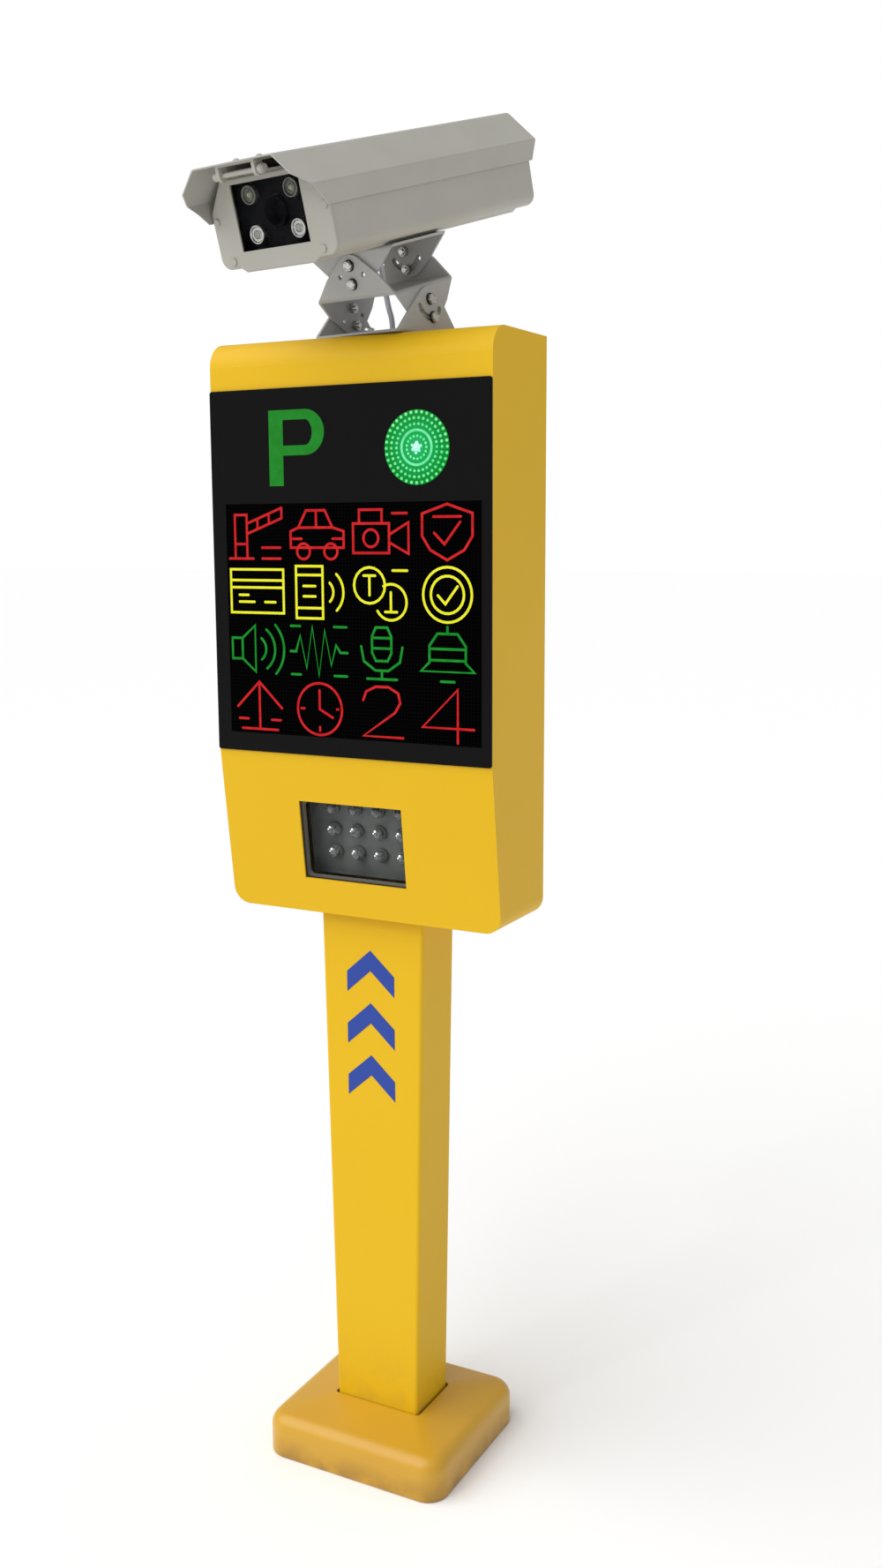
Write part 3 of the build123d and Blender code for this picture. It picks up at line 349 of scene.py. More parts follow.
def placed(form, origin, out, across=(1, 0, 0)):
    """A form's (u, v, w) points set at an origin, with w standing out and u across."""
    out = Vector(out).normalized()
    side = Vector(across)
    side = (side - out * side.dot(out)).normalized()
    rise = out.cross(side)
    verts, faces = form
    return [Vector(origin) + side * u + rise * v + out * w for u, v, w in verts], faces


front_out = (0, -1, 0)
post_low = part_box("post")[0]
arrow_width = 0.063
arrow_rise = 0.028
arrow_band = 0.0245
arrow_top = 0.627
arrow_pitch = 0.063
arrow_offset = -0.002
film = Finish("blue_film", Specular_IOR_Level=0.3)
film_wear = film.ramp(film.noise(90, 6, 0.7), 0.6, 0.8)
film.skin(film_wear * 0.3, (38, 66, 152), (66, 90, 164))
film.feed("Roughness", film_wear * 0.2 + 0.42)
film.bump(film.noise(500, 2), 0.05, 0.0003)
arrows = []
for row in range(3):
    tip = arrow_top - row * arrow_pitch
    half = arrow_width / 2
    wing = tip - arrow_rise
    outline = [(-half, wing - arrow_band), (0, tip - arrow_band), (half, wing - arrow_band), (half, wing),
               (0, tip), (-half, wing)]
    arrows.append(placed(slab(outline, -0.0002, 0.0004, 0.0001), (arrow_offset, post_low.y, 0), front_out))
make_piece("direction_marks", join_forms(arrows), film, "station")


# ------------------------------------------------------------------ moulded floor cover
# A thick plastic hood in a browner yellow, moulded in one piece, that slides down the
# post and hides the anchor bolts; its skin has soft sink marks, scuffs and floor dirt.
cover_gloss = Finish("moulded_cover_yellow", Coat_Weight=0.35, Coat_Roughness=0.28, Specular_IOR_Level=0.4)
cloud = cover_gloss.ramp(cover_gloss.noise(5.5, 5), 0.3, 0.72)
scuff = cover_gloss.ramp(cover_gloss.noise(70, 8, 0.7, cover_gloss.stretch(1, 1, 3.5)), 0.62, 0.8)
near_floor = cover_gloss.ramp(cover_gloss.part(2), 0.03, 0.0)
low_dust = near_floor * cover_gloss.ramp(cover_gloss.noise(30, 6), 0.3, 0.6)
cover_colour = cover_gloss.blend(cloud, paint(206, 158, 34), paint(198, 149, 30))
cover_colour = cover_gloss.blend(scuff * 0.25, cover_colour, paint(222, 178, 88))
cover_gloss.feed("Base Color", cover_gloss.blend(low_dust * 0.55, cover_colour, paint(96, 66, 34)))
cover_gloss.feed("Roughness", cloud * 0.12 + 0.36 + scuff * 0.2)
cover_gloss.bump(cover_gloss.noise(9, 3) + cover_gloss.noise(240, 2) * 0.06, 0.12, 0.002)
coat(cover_gloss, "base_cover")


# ------------------------------------------------------------------ black display panel
# A sheet of black acrylic across the whole front, its edge polished to a thin bevel,
# with the point matrix as a blacker field in the middle of it.
acrylic = Finish("black_acrylic", Specular_IOR_Level=0.06)
acrylic_dust = acrylic.ramp(acrylic.noise(55, 8, 0.7), 0.6, 0.85)
acrylic.skin(acrylic_dust * 0.2, (15, 15, 16), (26, 26, 28))
acrylic.feed("Roughness", acrylic_dust * 0.2 + 0.3)
coat(acrylic, "display_panel")

panel_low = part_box("display_panel")[0]
module_low, module_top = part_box("led_module_lower")[0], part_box("led_module_upper")[1]
mask_black = Finish("point_mask_black", Specular_IOR_Level=0.02)
grid = mask_black.node("ShaderNodeTexVoronoi", {"feature": "F1"},
                       {"Vector": mask_black.place, "Scale": 250.0, "Randomness": 0.0}, out="Distance")
mask_black.skin(mask_black.ramp(grid, 0.28, 0.2), (0, 0, 0), (5, 5, 5))
mask_black.feed("Roughness", mask_black.ramp(grid, 0.3, 0.1) * -0.1 + 0.9)
field = [(module_low.x, module_low.z), (module_top.x, module_low.z),
         (module_top.x, module_top.z), (module_low.x, module_top.z)]
mask_form = placed(slab(field, -0.0002, 0.0003, 0.0001), (0, panel_low.y, 0), front_out)
make_piece("point_mask", mask_form, mask_black, "station")


# ------------------------------------------------------------------ lit signs of the display
# Four rows of generic lane signs glow through the acrylic, one colour a row, each sign
# drawn in rounded lines of light on a block twenty points wide and sixteen high.
sign_pitch = (module_top.x - module_low.x) / 80
line_half = 0.00145
line_rise = 0.0007
bead_section = ((-1.0, -0.2), (-0.92, 0.5), (-0.5, 0.93), (0.0, 1.0), (0.5, 0.93), (0.92, 0.5), (1.0, -0.2))


def arc(x, y, radius, start=0, stop=360, steps=20):
    """Points along an arc."""
    out = []
    for step in range(steps + 1):
        turn = math.radians(start + (stop - start) * step / steps)
        out.append((x + radius * math.cos(turn), y + radius * math.sin(turn)))
    return out


def bead(points, half_width, rise):
    """A raised line along (u, v) points, rounded across and at its ends; a loop closes on itself."""
    line = [Vector(point) for point in points]
    loop = (line[0] - line[-1]).length < 1e-6
    if loop:
        line.pop()
    stations = []
    for index, here in enumerate(line):
        after = line[(index + 1) % len(line)]
        first, last = index == 0 and not loop, index == len(line) - 1 and not loop
        along_in = (here - line[index - 1]).normalized() if not first else (after - here).normalized()
        along_out = (after - here).normalized() if not last else along_in
        along = (along_in + along_out).normalized()
        stations.append((here, along, 1 / max(along.dot(along_in), 0.6), 1.0))
    if not loop:
        caps = [(math.sin(math.radians(turn)), math.cos(math.radians(turn))) for turn in (25, 50, 72, 86)]
        here, along = stations[0][0], stations[0][1]
        head = [(here - along * half_width * out, along, 1.0, scale) for out, scale in reversed(caps)]
        here, along = stations[-1][0], stations[-1][1]
        tail = [(here + along * half_width * out, along, 1.0, scale) for out, scale in caps]
        stations = head + stations + tail
    rings = []
    for here, along, widen, scale in stations:
        aside = Vector((-along.y, along.x)) * half_width * widen * scale
        ring = []
        for across, height in bead_section:
            spot = here + aside * across
            ring.append((spot.x, spot.y, rise * height * (scale if height > 0 else 1)))
        rings.append(ring)
    if loop:
        rings.append(rings[0])
        verts, faces = stacked(rings)
        return verts, faces[2:]
    return stacked(rings)


def dash(start, stop, height):
    """A level stroke."""
    return [(start, height), (stop, height)]


def crate(left, foot, right, top):
    """A box drawn as one closed stroke."""
    return [(left, foot), (right, foot), (right, top), (left, top), (left, foot)]


signs = {
    "arrow": [[(10, 1.2), (10, 14.6)], [(2.5, 7.4), (10, 14.6), (17.5, 7.4)], dash(4, 16, 1.2),
              dash(3, 6, 4), dash(14, 17, 4)],
    "car": [[(1.5, 4), (18.5, 4), (18.5, 8.4), (15, 9.4), (12.6, 14), (6.6, 14), (4, 9.4), (1.5, 8.4),
             (1.5, 4)], dash(4, 15, 9.4), [(9.8, 14), (9.8, 9.4)], arc(5.6, 3, 2.1), arc(14.4, 3, 2.1),
            dash(2, 5, 6.4), dash(15, 18, 6.4)],
    "barrier": [[(3, 1), (3, 13), (7, 13), (7, 1)], dash(1, 9, 1), [(7, 10.6), (18.6, 14.8)],
                [(7, 7.8), (18.6, 12)], [(18.6, 12), (18.6, 14.8)], [(10.6, 9.2), (10.6, 11.8)],
                [(14.4, 10.6), (14.4, 13.2)], dash(3, 7, 5), dash(12, 18, 1), dash(12, 18, 4)],
    "camera": [crate(1.5, 2.6, 12.6, 10.4), arc(7, 6.5, 2.3),
               [(12.6, 7.4), (18.5, 10.6), (18.5, 2.4), (12.6, 5.4)],
               [(3.4, 10.4), (3.4, 14), (10.4, 14), (10.4, 10.4)], dash(13.6, 18, 13)],
    "card": [crate(1.2, 2, 18.8, 14), dash(1.2, 18.8, 11), dash(1.2, 18.8, 9), dash(4, 9, 5),
             dash(12.6, 16, 5), dash(4, 7, 6.9)],
    "phone": [crate(3, 0.8, 11.6, 15), dash(3, 11.6, 12.6), dash(3, 11.6, 3.6),
              arc(11.6, 8, 3.4, -48, 48, 8), arc(11.6, 8, 6.6, -48, 48, 10), dash(5.4, 9.2, 9.6),
              dash(5.4, 9.2, 6.8)],
    "coins": [arc(6.4, 10, 4.8), [(6.4, 7.4), (6.4, 12.6)], arc(13, 5.6, 4.8, -150, 118),
              [(13, 3), (13, 8.2)], dash(4.6, 8.2, 12.6), dash(11.2, 14.8, 3), dash(13.6, 18, 14)],
    "tick": [arc(10, 7.8, 7.2, 0, 360, 32), arc(10, 7.8, 4.9, 0, 360, 26),
             [(7.2, 7.6), (9.4, 5.4), (13, 10)]],
    "speaker": [[(1.2, 5), (4.6, 5), (9, 1.4), (9, 14.4), (4.6, 10.8), (1.2, 10.8), (1.2, 5)],
                arc(9, 7.9, 3.6, -55, 55, 8), arc(9, 7.9, 6.6, -55, 55, 12), arc(9, 7.9, 9.6, -45, 45, 14),
                [(4.6, 5), (4.6, 10.8)]],
    "wave": [[(0.8, 7.6), (2.6, 7.6), (4, 12), (6, 3), (8, 14.6), (10, 1), (12, 13.6), (14, 4), (15.6, 9.6),
              (17, 7.6), (19.2, 7.6)], dash(1, 4, 1.2), dash(15, 19, 1.2), dash(1, 4, 14.6),
             dash(15, 19, 14.6)],
    "microphone": [[(7, 8), (7, 12.4), (8.2, 14.8), (11.8, 14.8), (13, 12.4), (13, 8), (11.8, 5.8),
                    (8.2, 5.8), (7, 8)], dash(7, 13, 9.2), dash(7, 13, 12),
                   [(3.6, 9.6), (4.4, 5.6), (8, 3.2), (12, 3.2), (15.6, 5.6), (16.4, 9.6)],
                   [(10, 3.2), (10, 0.9)], dash(5.4, 14.6, 0.9)],
    "bell": [[(2, 3.6), (4.6, 6), (4.6, 10.4), (7, 13.6), (13, 13.6), (15.4, 10.4), (15.4, 6), (18, 3.6),
              (2, 3.6)], dash(8, 12, 1), [(10, 13.6), (10, 15.4)], dash(4.6, 15.4, 6.6),
             dash(4.6, 15.4, 9.6)],
    "clock": [arc(10, 7.8, 7.2, 0, 360, 32), [(10, 13), (10, 7.8), (14.2, 5.6)], [(10, 1.8), (10, 2.8)],
              dash(4, 5, 7.8), dash(15.6, 16, 8)],
    "two": [[(4, 11), (5, 13.4), (8, 14.8), (12, 14.8), (15, 13.2), (15.6, 10.6), (14, 8), (4, 1.2),
             (16.4, 1.2)]],
    "four": [[(13, 0.8), (13, 15), (2.4, 4.6), (17.8, 4.6)]],
    "shield": [[(10, 15.2), (2.6, 12.8), (2.6, 7), (5, 3.4), (10, 0.8), (15, 3.4), (17.4, 7), (17.4, 12.8),
                (10, 15.2)], [(6.2, 7.8), (9.2, 4.9), (13.8, 10.6)], dash(6, 14, 12)],
}
sign_rows = (
    ("red", ("arrow", "clock", "two", "four")),
    ("green", ("speaker", "wave", "microphone", "bell")),
    ("yellow", ("card", "phone", "coins", "tick")),
    ("red", ("barrier", "car", "camera", "shield")),
)


def glow(name, colour, strength, halo):
    """A lit surface: saturated skin with its own light, a touch brighter in places."""
    finish = Finish(name, Roughness=0.6, Specular_IOR_Level=0.02, Emission_Strength=strength)
    finish.skin(finish.noise(30, 2), (8, 8, 8), (14, 14, 14))
    finish.feed("Emission Color", finish.blend(finish.ramp(finish.noise(90, 2), 0.35, 0.65), colour, halo))
    return finish


lamp_skins = {
    "red": glow("signs_red", paint(196, 26, 32), 1.0, paint(214, 38, 42)),
    "yellow": glow("signs_yellow", paint(236, 236, 36), 1.0, paint(244, 244, 60)),
    "green": glow("signs_green", paint(16, 134, 38), 1.0, paint(28, 150, 48)),
}
lines = {colour: [] for colour in lamp_skins}
for row, (colour, names) in enumerate(sign_rows):
    for column, name in enumerate(names):
        left = module_low.x + column * 20 * sign_pitch
        foot = module_low.z + row * 16 * sign_pitch
        for stroke in signs[name]:
            points = [(left + u * sign_pitch, foot + v * sign_pitch) for u, v in stroke]
            stroke_form = bead(points, line_half, line_rise)
            lines[colour].append(placed(stroke_form, (0, panel_low.y - 0.0002, 0), front_out))
for colour, forms in lines.items():
    make_piece(f"lit_signs_{colour}", join_forms(forms), lamp_skins[colour], "station", True)


# ------------------------------------------------------------------ parking sign
# A generic letter sign cut from green diffusing film, lit evenly from the board behind.
sign_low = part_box("parking_sign_board")[0]
sign_film = glow("sign_green_film", paint(32, 130, 38), 1.0, paint(36, 138, 42))
letter_left, letter_foot = sign_low.x + 0.009, sign_low.z + 0.006
letter_width, letter_height, stem = 0.071, 0.081, 0.0182
bowl_low, bowl_side, bowl_band = 0.0325, 0.0152, 0.0106
bowl_radius = (letter_height - bowl_low) / 2
bowl_x = letter_width - bowl_radius


def bowl(radius_x, radius_z, steps=28):
    """Points round the letter's bowl, from its foot to its top."""
    middle = bowl_low + bowl_radius
    out = []
    for step in range(steps + 1):
        turn = math.pi * (step / steps - 0.5)
        out.append((bowl_x + radius_x * math.cos(turn), middle + radius_z * math.sin(turn)))
    return out


outer_edge = [(stem, bowl_low)] + bowl(bowl_radius, bowl_radius) + [(stem, letter_height)]
inner_edge = [(stem, bowl_low + bowl_band)] + bowl(bowl_radius - bowl_side, bowl_radius - bowl_band) \
    + [(stem, letter_height - bowl_band)]
bowl_rings = []
for (outer_u, outer_v), (inner_u, inner_v) in zip(outer_edge, inner_edge):
    bowl_rings.append([(outer_u, outer_v, -0.0002), (outer_u, outer_v, 0.0005),
                       (inner_u, inner_v, 0.0005), (inner_u, inner_v, -0.0002)])
stem_form = slab([(0, 0), (stem, 0), (stem, letter_height), (0, letter_height)], -0.0002, 0.0005, 0.0001)
make_piece("parking_letter", placed(join_forms([stacked(bowl_rings), stem_form]),
                                    (letter_left, panel_low.y, letter_foot), front_out),
           sign_film, "station")


# ------------------------------------------------------------------ round signal lamp
# Green go lamp: a dyed disc with rings of small domed lamps, one unbroken bright ring,
# and a white-hot cluster of uneven crystals in the middle.
lamp_low, lamp_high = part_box("signal_lamp")
lamp_centre = Vector(((lamp_low.x + lamp_high.x) / 2, panel_low.y, (lamp_low.z + lamp_high.z) / 2))


def turned(profile, steps=32):
    """A form spun about the w axis from (radius, height) points, capped at both ends."""
    rings = []
    for radius, height in profile:
        rings.append([(u, v, height) for u, v in arc(0, 0, radius, 0, 360, steps)[:steps]])
    return stacked(rings)


def dome(radius, rise):
    """Profile of a low domed lamp."""
    return [(radius, -0.0003), (radius, 0.0)] + [(radius * math.cos(turn), rise * math.sin(turn))
                                                for turn in (0.4, 0.8, 1.15, 1.45)]


def shifted(form, u, v):
    """A form moved in its own plane."""
    verts, faces = form
    return [(a + u, b + v, w) for a, b, w in verts], faces


disc_radius = 0.0385
lamp_skin = lamp_centre + Vector((0, -0.0006, 0))
disc_green = Finish("signal_disc_green", Roughness=0.5, Specular_IOR_Level=0.05, Emission_Strength=1.0)
from_heart = disc_green.reach(tuple(lamp_centre))
near_middle = disc_green.ramp(from_heart, disc_radius, 0.006)
disc_green.skin(near_middle, (4, 20, 8), (8, 30, 16))
disc_green.feed("Emission Color", disc_green.blend(near_middle, paint(4, 132, 36), paint(26, 178, 96)))
disc_form = turned([(disc_radius, -0.0002), (disc_radius, 0.0004), (disc_radius - 0.0004, 0.0006)], 72)
disc_form = placed(disc_form, lamp_centre, front_out)
make_piece("signal_disc", disc_form, disc_green, "station", True)

bead_rings = []
bead_rows = ((0.0362, 36, 0.00175), (0.0302, 34, 0.0016), (0.0240, 30, 0.0015), (0.0117, 17, 0.0014))
for radius, count, size in bead_rows:
    for index in range(count):
        turn = 2 * math.pi * index / count
        lens = turned(dome(size, 0.0009), 10)
        bead_rings.append(shifted(lens, radius * math.cos(turn), radius * math.sin(turn)))
bead_glow = glow("signal_bead_green", paint(96, 236, 138), 1.0, paint(140, 252, 172))
bead_form = placed(join_forms(bead_rings), lamp_skin, front_out)
make_piece("signal_beads", bead_form, bead_glow, "station", True)

ring_form = placed(bead(arc(0, 0, 0.0178, 0, 360, 72), 0.00135, 0.0008), lamp_skin, front_out)
ring_glow = glow("signal_ring_green", paint(96, 228, 148), 1.0, paint(132, 246, 178))
make_piece("signal_ring", ring_form, ring_glow, "station", True)
heart_forms = [turned(dome(0.0046, 0.0008), 20)]
crystals = ((0.3, 0.0052, 0.0017), (1.5, 0.0046, 0.0021), (2.7, 0.0056, 0.0015), (3.6, 0.0045, 0.0020),
            (4.6, 0.0054, 0.0018), (5.5, 0.0049, 0.0014))
for angle, reach, size in crystals:
    crystal = turned(dome(size, 0.0014), 10)
    heart_forms.append(shifted(crystal, reach * math.cos(angle), reach * math.sin(angle)))
heart_glow = glow("signal_heart_white", paint(150, 250, 216), 1.0, paint(226, 255, 250))
heart_form = placed(join_forms(heart_forms), lamp_skin, front_out)
make_piece("signal_heart", heart_form, heart_glow, "station", True)


# ------------------------------------------------------------------ fill light window in the chin
# A moulded dark grey bezel with rounded inner corners seated behind the sheet's opening,
# with painted shade darkening its outer rim, and a flat glass bedded in its rear step.
def solids_in(node):
    """The separate solids of a CAD node, each as a list of its points."""
    shell = bmesh.new()
    shell.from_mesh(bpy.data.objects[node].data)
    bmesh.ops.remove_doubles(shell, verts=shell.verts, dist=0.00002)
    left = set(shell.verts)
    solids = []
    while left:
        waiting = [left.pop()]
        points = []
        while waiting:
            vert = waiting.pop()
            points.append(vert.co.copy())
            for edge in vert.link_edges:
                other = edge.other_vert(vert)
                if other in left:
                    left.remove(other)
                    waiting.append(other)
        solids.append(points)
    shell.free()
    return solids


def span(points, axis):
    """Lowest and highest reach of some points along an axis."""
    reaches = [point.dot(axis) for point in points]
    return min(reaches), max(reaches)


def middle(points, axes):
    """The centre of the points' box drawn on three axes."""
    out = Vector((0, 0, 0))
    for axis in axes:
        low, high = span(points, axis)
        out += axis * (low + high) / 2
    return out


def mean(points):
    """The average of some points."""
    return sum(points, Vector()) / len(points)


east = Vector((1, 0, 0))
lamp_spots = [mean(solid) for solid in solids_in("fill_lamp_lenses")]
lamp_column = sorted(lamp_spots, key=lambda spot: spot.x)[:3]
chin_up = (max(lamp_column, key=lambda spot: spot.z) - min(lamp_column, key=lambda spot: spot.z)).normalized()
chin_out = east.cross(chin_up).normalized()
chin_axes = (east, chin_up, chin_out)


def rounded(width, height, corner, steps=6):
    """Outline of a rectangle with rounded corners, as (u, v) points about its centre."""
    out = []
    for quarter, (side, rise) in enumerate(((1, 1), (-1, 1), (-1, -1), (1, -1))):
        for step in range(steps + 1):
            turn = math.pi / 2 * (quarter + step / steps)
            out.append((side * (width / 2 - corner) + corner * math.cos(turn),
                        rise * (height / 2 - corner) + corner * math.sin(turn)))
    return out


def framed(levels):
    """A closed frame skin through rounded outlines (width, height, corner, height above its seat)."""
    rings = []
    for width, height, corner, lift in levels:
        rings.append([(u, v, lift) for u, v in rounded(width, height, corner)])
    rings.append(rings[0])
    verts, faces = stacked(rings)
    return verts, faces[2:]


bezel_solid = solids_in("fill_window_frame")[0]
bezel_front = span(bezel_solid, chin_out)[1]
bezel_rear = span(bezel_solid, chin_out)[0]
bezel_middle = middle(bezel_solid, chin_axes)
bezel_wide = span(bezel_solid, east)[1] - span(bezel_solid, east)[0]
bezel_tall = span(bezel_solid, chin_up)[1] - span(bezel_solid, chin_up)[0]
bezel_flange = 0.007
window_wide, window_tall = bezel_wide - 2 * bezel_flange, bezel_tall - 2 * bezel_flange
bezel_deep = bezel_front - bezel_rear
bezel_step = 0.0042 - bezel_deep
bezel_levels = [(bezel_wide, bezel_tall, 0.004, 0.0), (bezel_wide, bezel_tall, 0.004, -bezel_deep)]
bezel_mouth = ((0.009, 0.005, -bezel_deep), (0.009, 0.005, bezel_step), (-0.005, 0.006, bezel_step),
               (-0.0044, 0.006, bezel_step + 0.001), (-0.0012, 0.004, -0.0012), (-0.0002, 0.0035, 0.0))
for wider, corner, lift in bezel_mouth:
    bezel_levels.append((window_wide + wider, window_tall + wider, corner, lift))
bezel_form = framed(bezel_levels)
bezel_seat = bezel_middle + chin_out * (bezel_front - bezel_middle.dot(chin_out))
bezel_plastic = Finish("window_bezel_plastic", Specular_IOR_Level=0.3)
rim_depth = bezel_plastic.node("ShaderNodeVectorMath", {"operation": "DOT_PRODUCT"},
                               {0: bezel_plastic.place, 1: tuple(chin_out)}, out="Value")
# Painted shade: the bezel's colour turns brown-black over the last few millimetres towards its front rim,
# where it meets the yellow sheet.
rim_painted_shade = bezel_plastic.ramp(rim_depth, bezel_front - 0.0035, bezel_front - 0.0012)
bezel_skin = bezel_plastic.blend(bezel_plastic.noise(40, 4), paint(92, 90, 84), paint(106, 103, 96))
bezel_plastic.feed("Base Color", bezel_plastic.blend(rim_painted_shade, bezel_skin, paint(36, 30, 24)))
bezel_plastic.polish(60, 4, 0.2, 0.35)
bezel_plastic.bump(bezel_plastic.noise(900, 2), 0.08, 0.0003)
bezel_form = placed(bezel_form, bezel_seat, chin_out)
bezel = make_piece("window_bezel", bezel_form, bezel_plastic, "station", True)
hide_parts("fill_window_frame")


def pane(name, tint, veil):
    """Thin flat glass: mostly see-through, with a soft reflection."""
    finish = Finish(name, Roughness=0.08, Specular_IOR_Level=0.08)
    smear = finish.ramp(finish.noise(12, 6, 0.65), 0.45, 0.8)
    finish.feed("Base Color", finish.blend(smear, tint, paint(120, 126, 126)))
    finish.feed("Alpha", smear * veil + veil)
    return finish


coat(pane("pane_clear", paint(70, 80, 80), 0.035), "fill_window_glass")


# ------------------------------------------------------------------ fill lamp
# A grey painted tray and board tilt together behind the window; moulded domes stand on it,
# each a stepped collar, a swirled crown and a fine lip. The lower rows carry small glowing
# pips as painted highlights; the top row, in shade, has none.
board_grey = Finish("lamp_board_grey", Specular_IOR_Level=0.3)
board_spots = board_grey.ramp(board_grey.noise(35, 5), 0.35, 0.7)
board_grey.skin(board_spots, (92, 95, 94), (112, 115, 112))
board_grey.feed("Roughness", board_spots * 0.2 + 0.4)
board_grey.bump(board_grey.noise(420, 3), 0.1, 0.0004)
coat(board_grey, "fill_lamp_board", "fill_lamp_tray")

crown_grey = Finish("lamp_crown_moulding", Specular_IOR_Level=0.5, Coat_Weight=0.6, Coat_Roughness=0.05)
swirl = crown_grey.node("ShaderNodeTexNoise", None,
                        {"Vector": crown_grey.place, "Scale": 120.0, "Detail": 3.0, "Distortion": 2.4})
crown_grey.skin(crown_grey.ramp(swirl, 0.4, 0.68), (76, 79, 79), (150, 154, 150))
crown_grey.feed("Roughness", swirl * 0.3 + 0.15)
crown_grey.bump(swirl, 0.25, 0.0008)
collar_grey = mottled("lamp_collar_moulding", (200, 3), (84, 88, 88), (104, 108, 108), (90, 3, 0.2, 0.3),
                      Specular_IOR_Level=0.4)
crowns, collars, lips, painted_glints = [], [], [], []
collar_wall, crown_foot = 0.0012, 0.0048
lamp_solids = solids_in("fill_lamp_lenses")
top_row = max(middle(solid, chin_axes).dot(chin_up) for solid in lamp_solids)
for solid in lamp_solids:
    foot, head = span(solid, chin_out)
    spot = middle(solid, chin_axes)
    spot += chin_out * (foot - spot.dot(chin_out))
    rise = head - foot
    reach = (span(solid, east)[1] - span(solid, east)[0]) / 2
    dome_reach, dome_rise = reach - collar_wall, rise - crown_foot
    collar = turned([(reach, 0.0), (reach, 0.0042), (reach - 0.0005, 0.005), (dome_reach + 0.0001, 0.0052),
                     (dome_reach, 0.0044)], 40)
    crown = [(dome_reach, 0.004)]
    for step in range(9):
        turn = math.pi / 2 * step / 8.4
        crown.append((dome_reach * math.cos(turn), crown_foot + dome_rise * math.sin(turn)))
    collars.append(placed(collar, spot, chin_out))
    crowns.append(placed(turned(crown, 40), spot, chin_out))
    lip = bead(arc(0.0006, -0.0008, reach - 0.0052, 190, 400, 20), 0.0004, 0.0005)
    lips.append(placed(lip, spot + chin_out * (rise * 0.86), chin_out))
    # Painted highlights: each lamp below the top row gets two small glowing dots at its upper left in place
    # of the key light's glints; the top row, in shade, gets none.
    if top_row - spot.dot(chin_up) < reach:
        continue
    for u, v, size in ((-0.0014, 0.0042, 0.0011), (-0.0030, 0.0020, 0.0007)):
        lift = crown_foot + dome_rise * math.sqrt(1 - (u * u + v * v) / dome_reach ** 2) - size * 0.4
        painted_glints.append(placed(shifted(turned(dome(size, size), 12), u, v), spot + chin_out * lift, chin_out))
make_piece("fill_lamp_collars", join_forms(collars), collar_grey, "fill_lamp", True)
crown_piece = make_piece("fill_lamp_crowns", join_forms(crowns), crown_grey, "fill_lamp", True)
die_grey = mottled("lamp_lip_moulding", (300, 3), (120, 124, 122), (160, 164, 160), (90, 3, 0.2, 0.2),
                   Specular_IOR_Level=0.5)
make_piece("fill_lamp_lips", join_forms(lips), die_grey, "fill_lamp", True)
# Painted highlight: the pips are self-lit white dots, not lamps.
painted_glint_glow = glow("lamp_painted_glint_white", paint(214, 216, 214), 4.0, paint(250, 250, 250))
make_piece("fill_lamp_painted_glints", join_forms(painted_glints), painted_glint_glow, "fill_lamp", True)
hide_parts("fill_lamp_lenses")


# ------------------------------------------------------------------ electronics behind the door
# Green circuit board, perforated supply case, grey moulded switchgear and black speaker.
circuit = Finish("circuit_green", Specular_IOR_Level=0.5)
tracks = circuit.node("ShaderNodeTexVoronoi", {"distance": "MANHATTAN"},
                      {"Vector": circuit.place, "Scale": 120.0}, out="Distance")
circuit.skin(circuit.ramp(tracks, 0.2, 0.6), (10, 92, 44), (22, 66, 40))
circuit.feed("Roughness", tracks * 0.2 + 0.3)
coat(circuit, "controller_board")

case = Finish("supply_case", Metallic=0.9)
holes = case.node("ShaderNodeTexVoronoi", None, {"Vector": case.place, "Scale": 160.0, "Randomness": 0.0},
                  out="Distance")
case.skin(case.ramp(holes, 0.25, 0.22), (180, 182, 184), (26, 26, 28))
case.polish(60, 3, 0.2, 0.3)
coat(case, "power_supply")

switchgear = mottled("switchgear_grey", (40, 3), (196, 198, 198), (186, 188, 190), (90, 3, 0.2, 0.4),
                     (800, 2, 0.05, 0.0003))
coat(switchgear, "terminal_block", "breaker_body")

black_plastic = mottled("black_moulding", (50, 4), (20, 20, 21), (30, 30, 31), (90, 3, 0.2, 0.4),
                        (700, 2, 0.08, 0.0003), Specular_IOR_Level=0.35)
coat(black_plastic, "led_module_lower", "led_module_upper", "parking_sign_board", "signal_lamp",
     "breaker_lever", "speaker", "rear_glands")


# ------------------------------------------------------------------ rear door seal, hinges and lock
# A black cellular rubber seal under the door's rim; bright turned pins, and a chromed
# cylinder lock with its nut and cam.
rubber = mottled("seal_rubber", (160, 4), (22, 22, 22), (38, 38, 38), (120, 3, 0.15, 0.75),
                 (600, 4, 0.2, 0.0005), Specular_IOR_Level=0.2)
coat(rubber, "door_gasket")

bright = Finish("bright_steel", Metallic=1.0)
lathe = bright.noise(700, 3)
bright.skin(lathe, (170, 170, 168), (214, 214, 210))
bright.polish(120, 3, 0.2, 0.16)
bright.bump(lathe, 0.08, 0.0002)
coat(bright, "pan_bush", "door_hinge_pins", "cabinet_bolts", "lock_housing", "lock_nut", "lock_plug",
     "lock_cam")


# ------------------------------------------------------------------ tilt bracket channels
# Three folded steel channels with necked ears, shot blasted and coated in matt grey, with
# faint polished arcs where the clamp washers have been slid.
joints = {joint["name"]: joint for joint in frame["record"]["behaviour"]["joints"]}


def joint_line(name):
    """A joint's place and its axis."""
    return Vector(joints[name]["pos_m"]), Vector(joints[name]["axis"]).normalized()


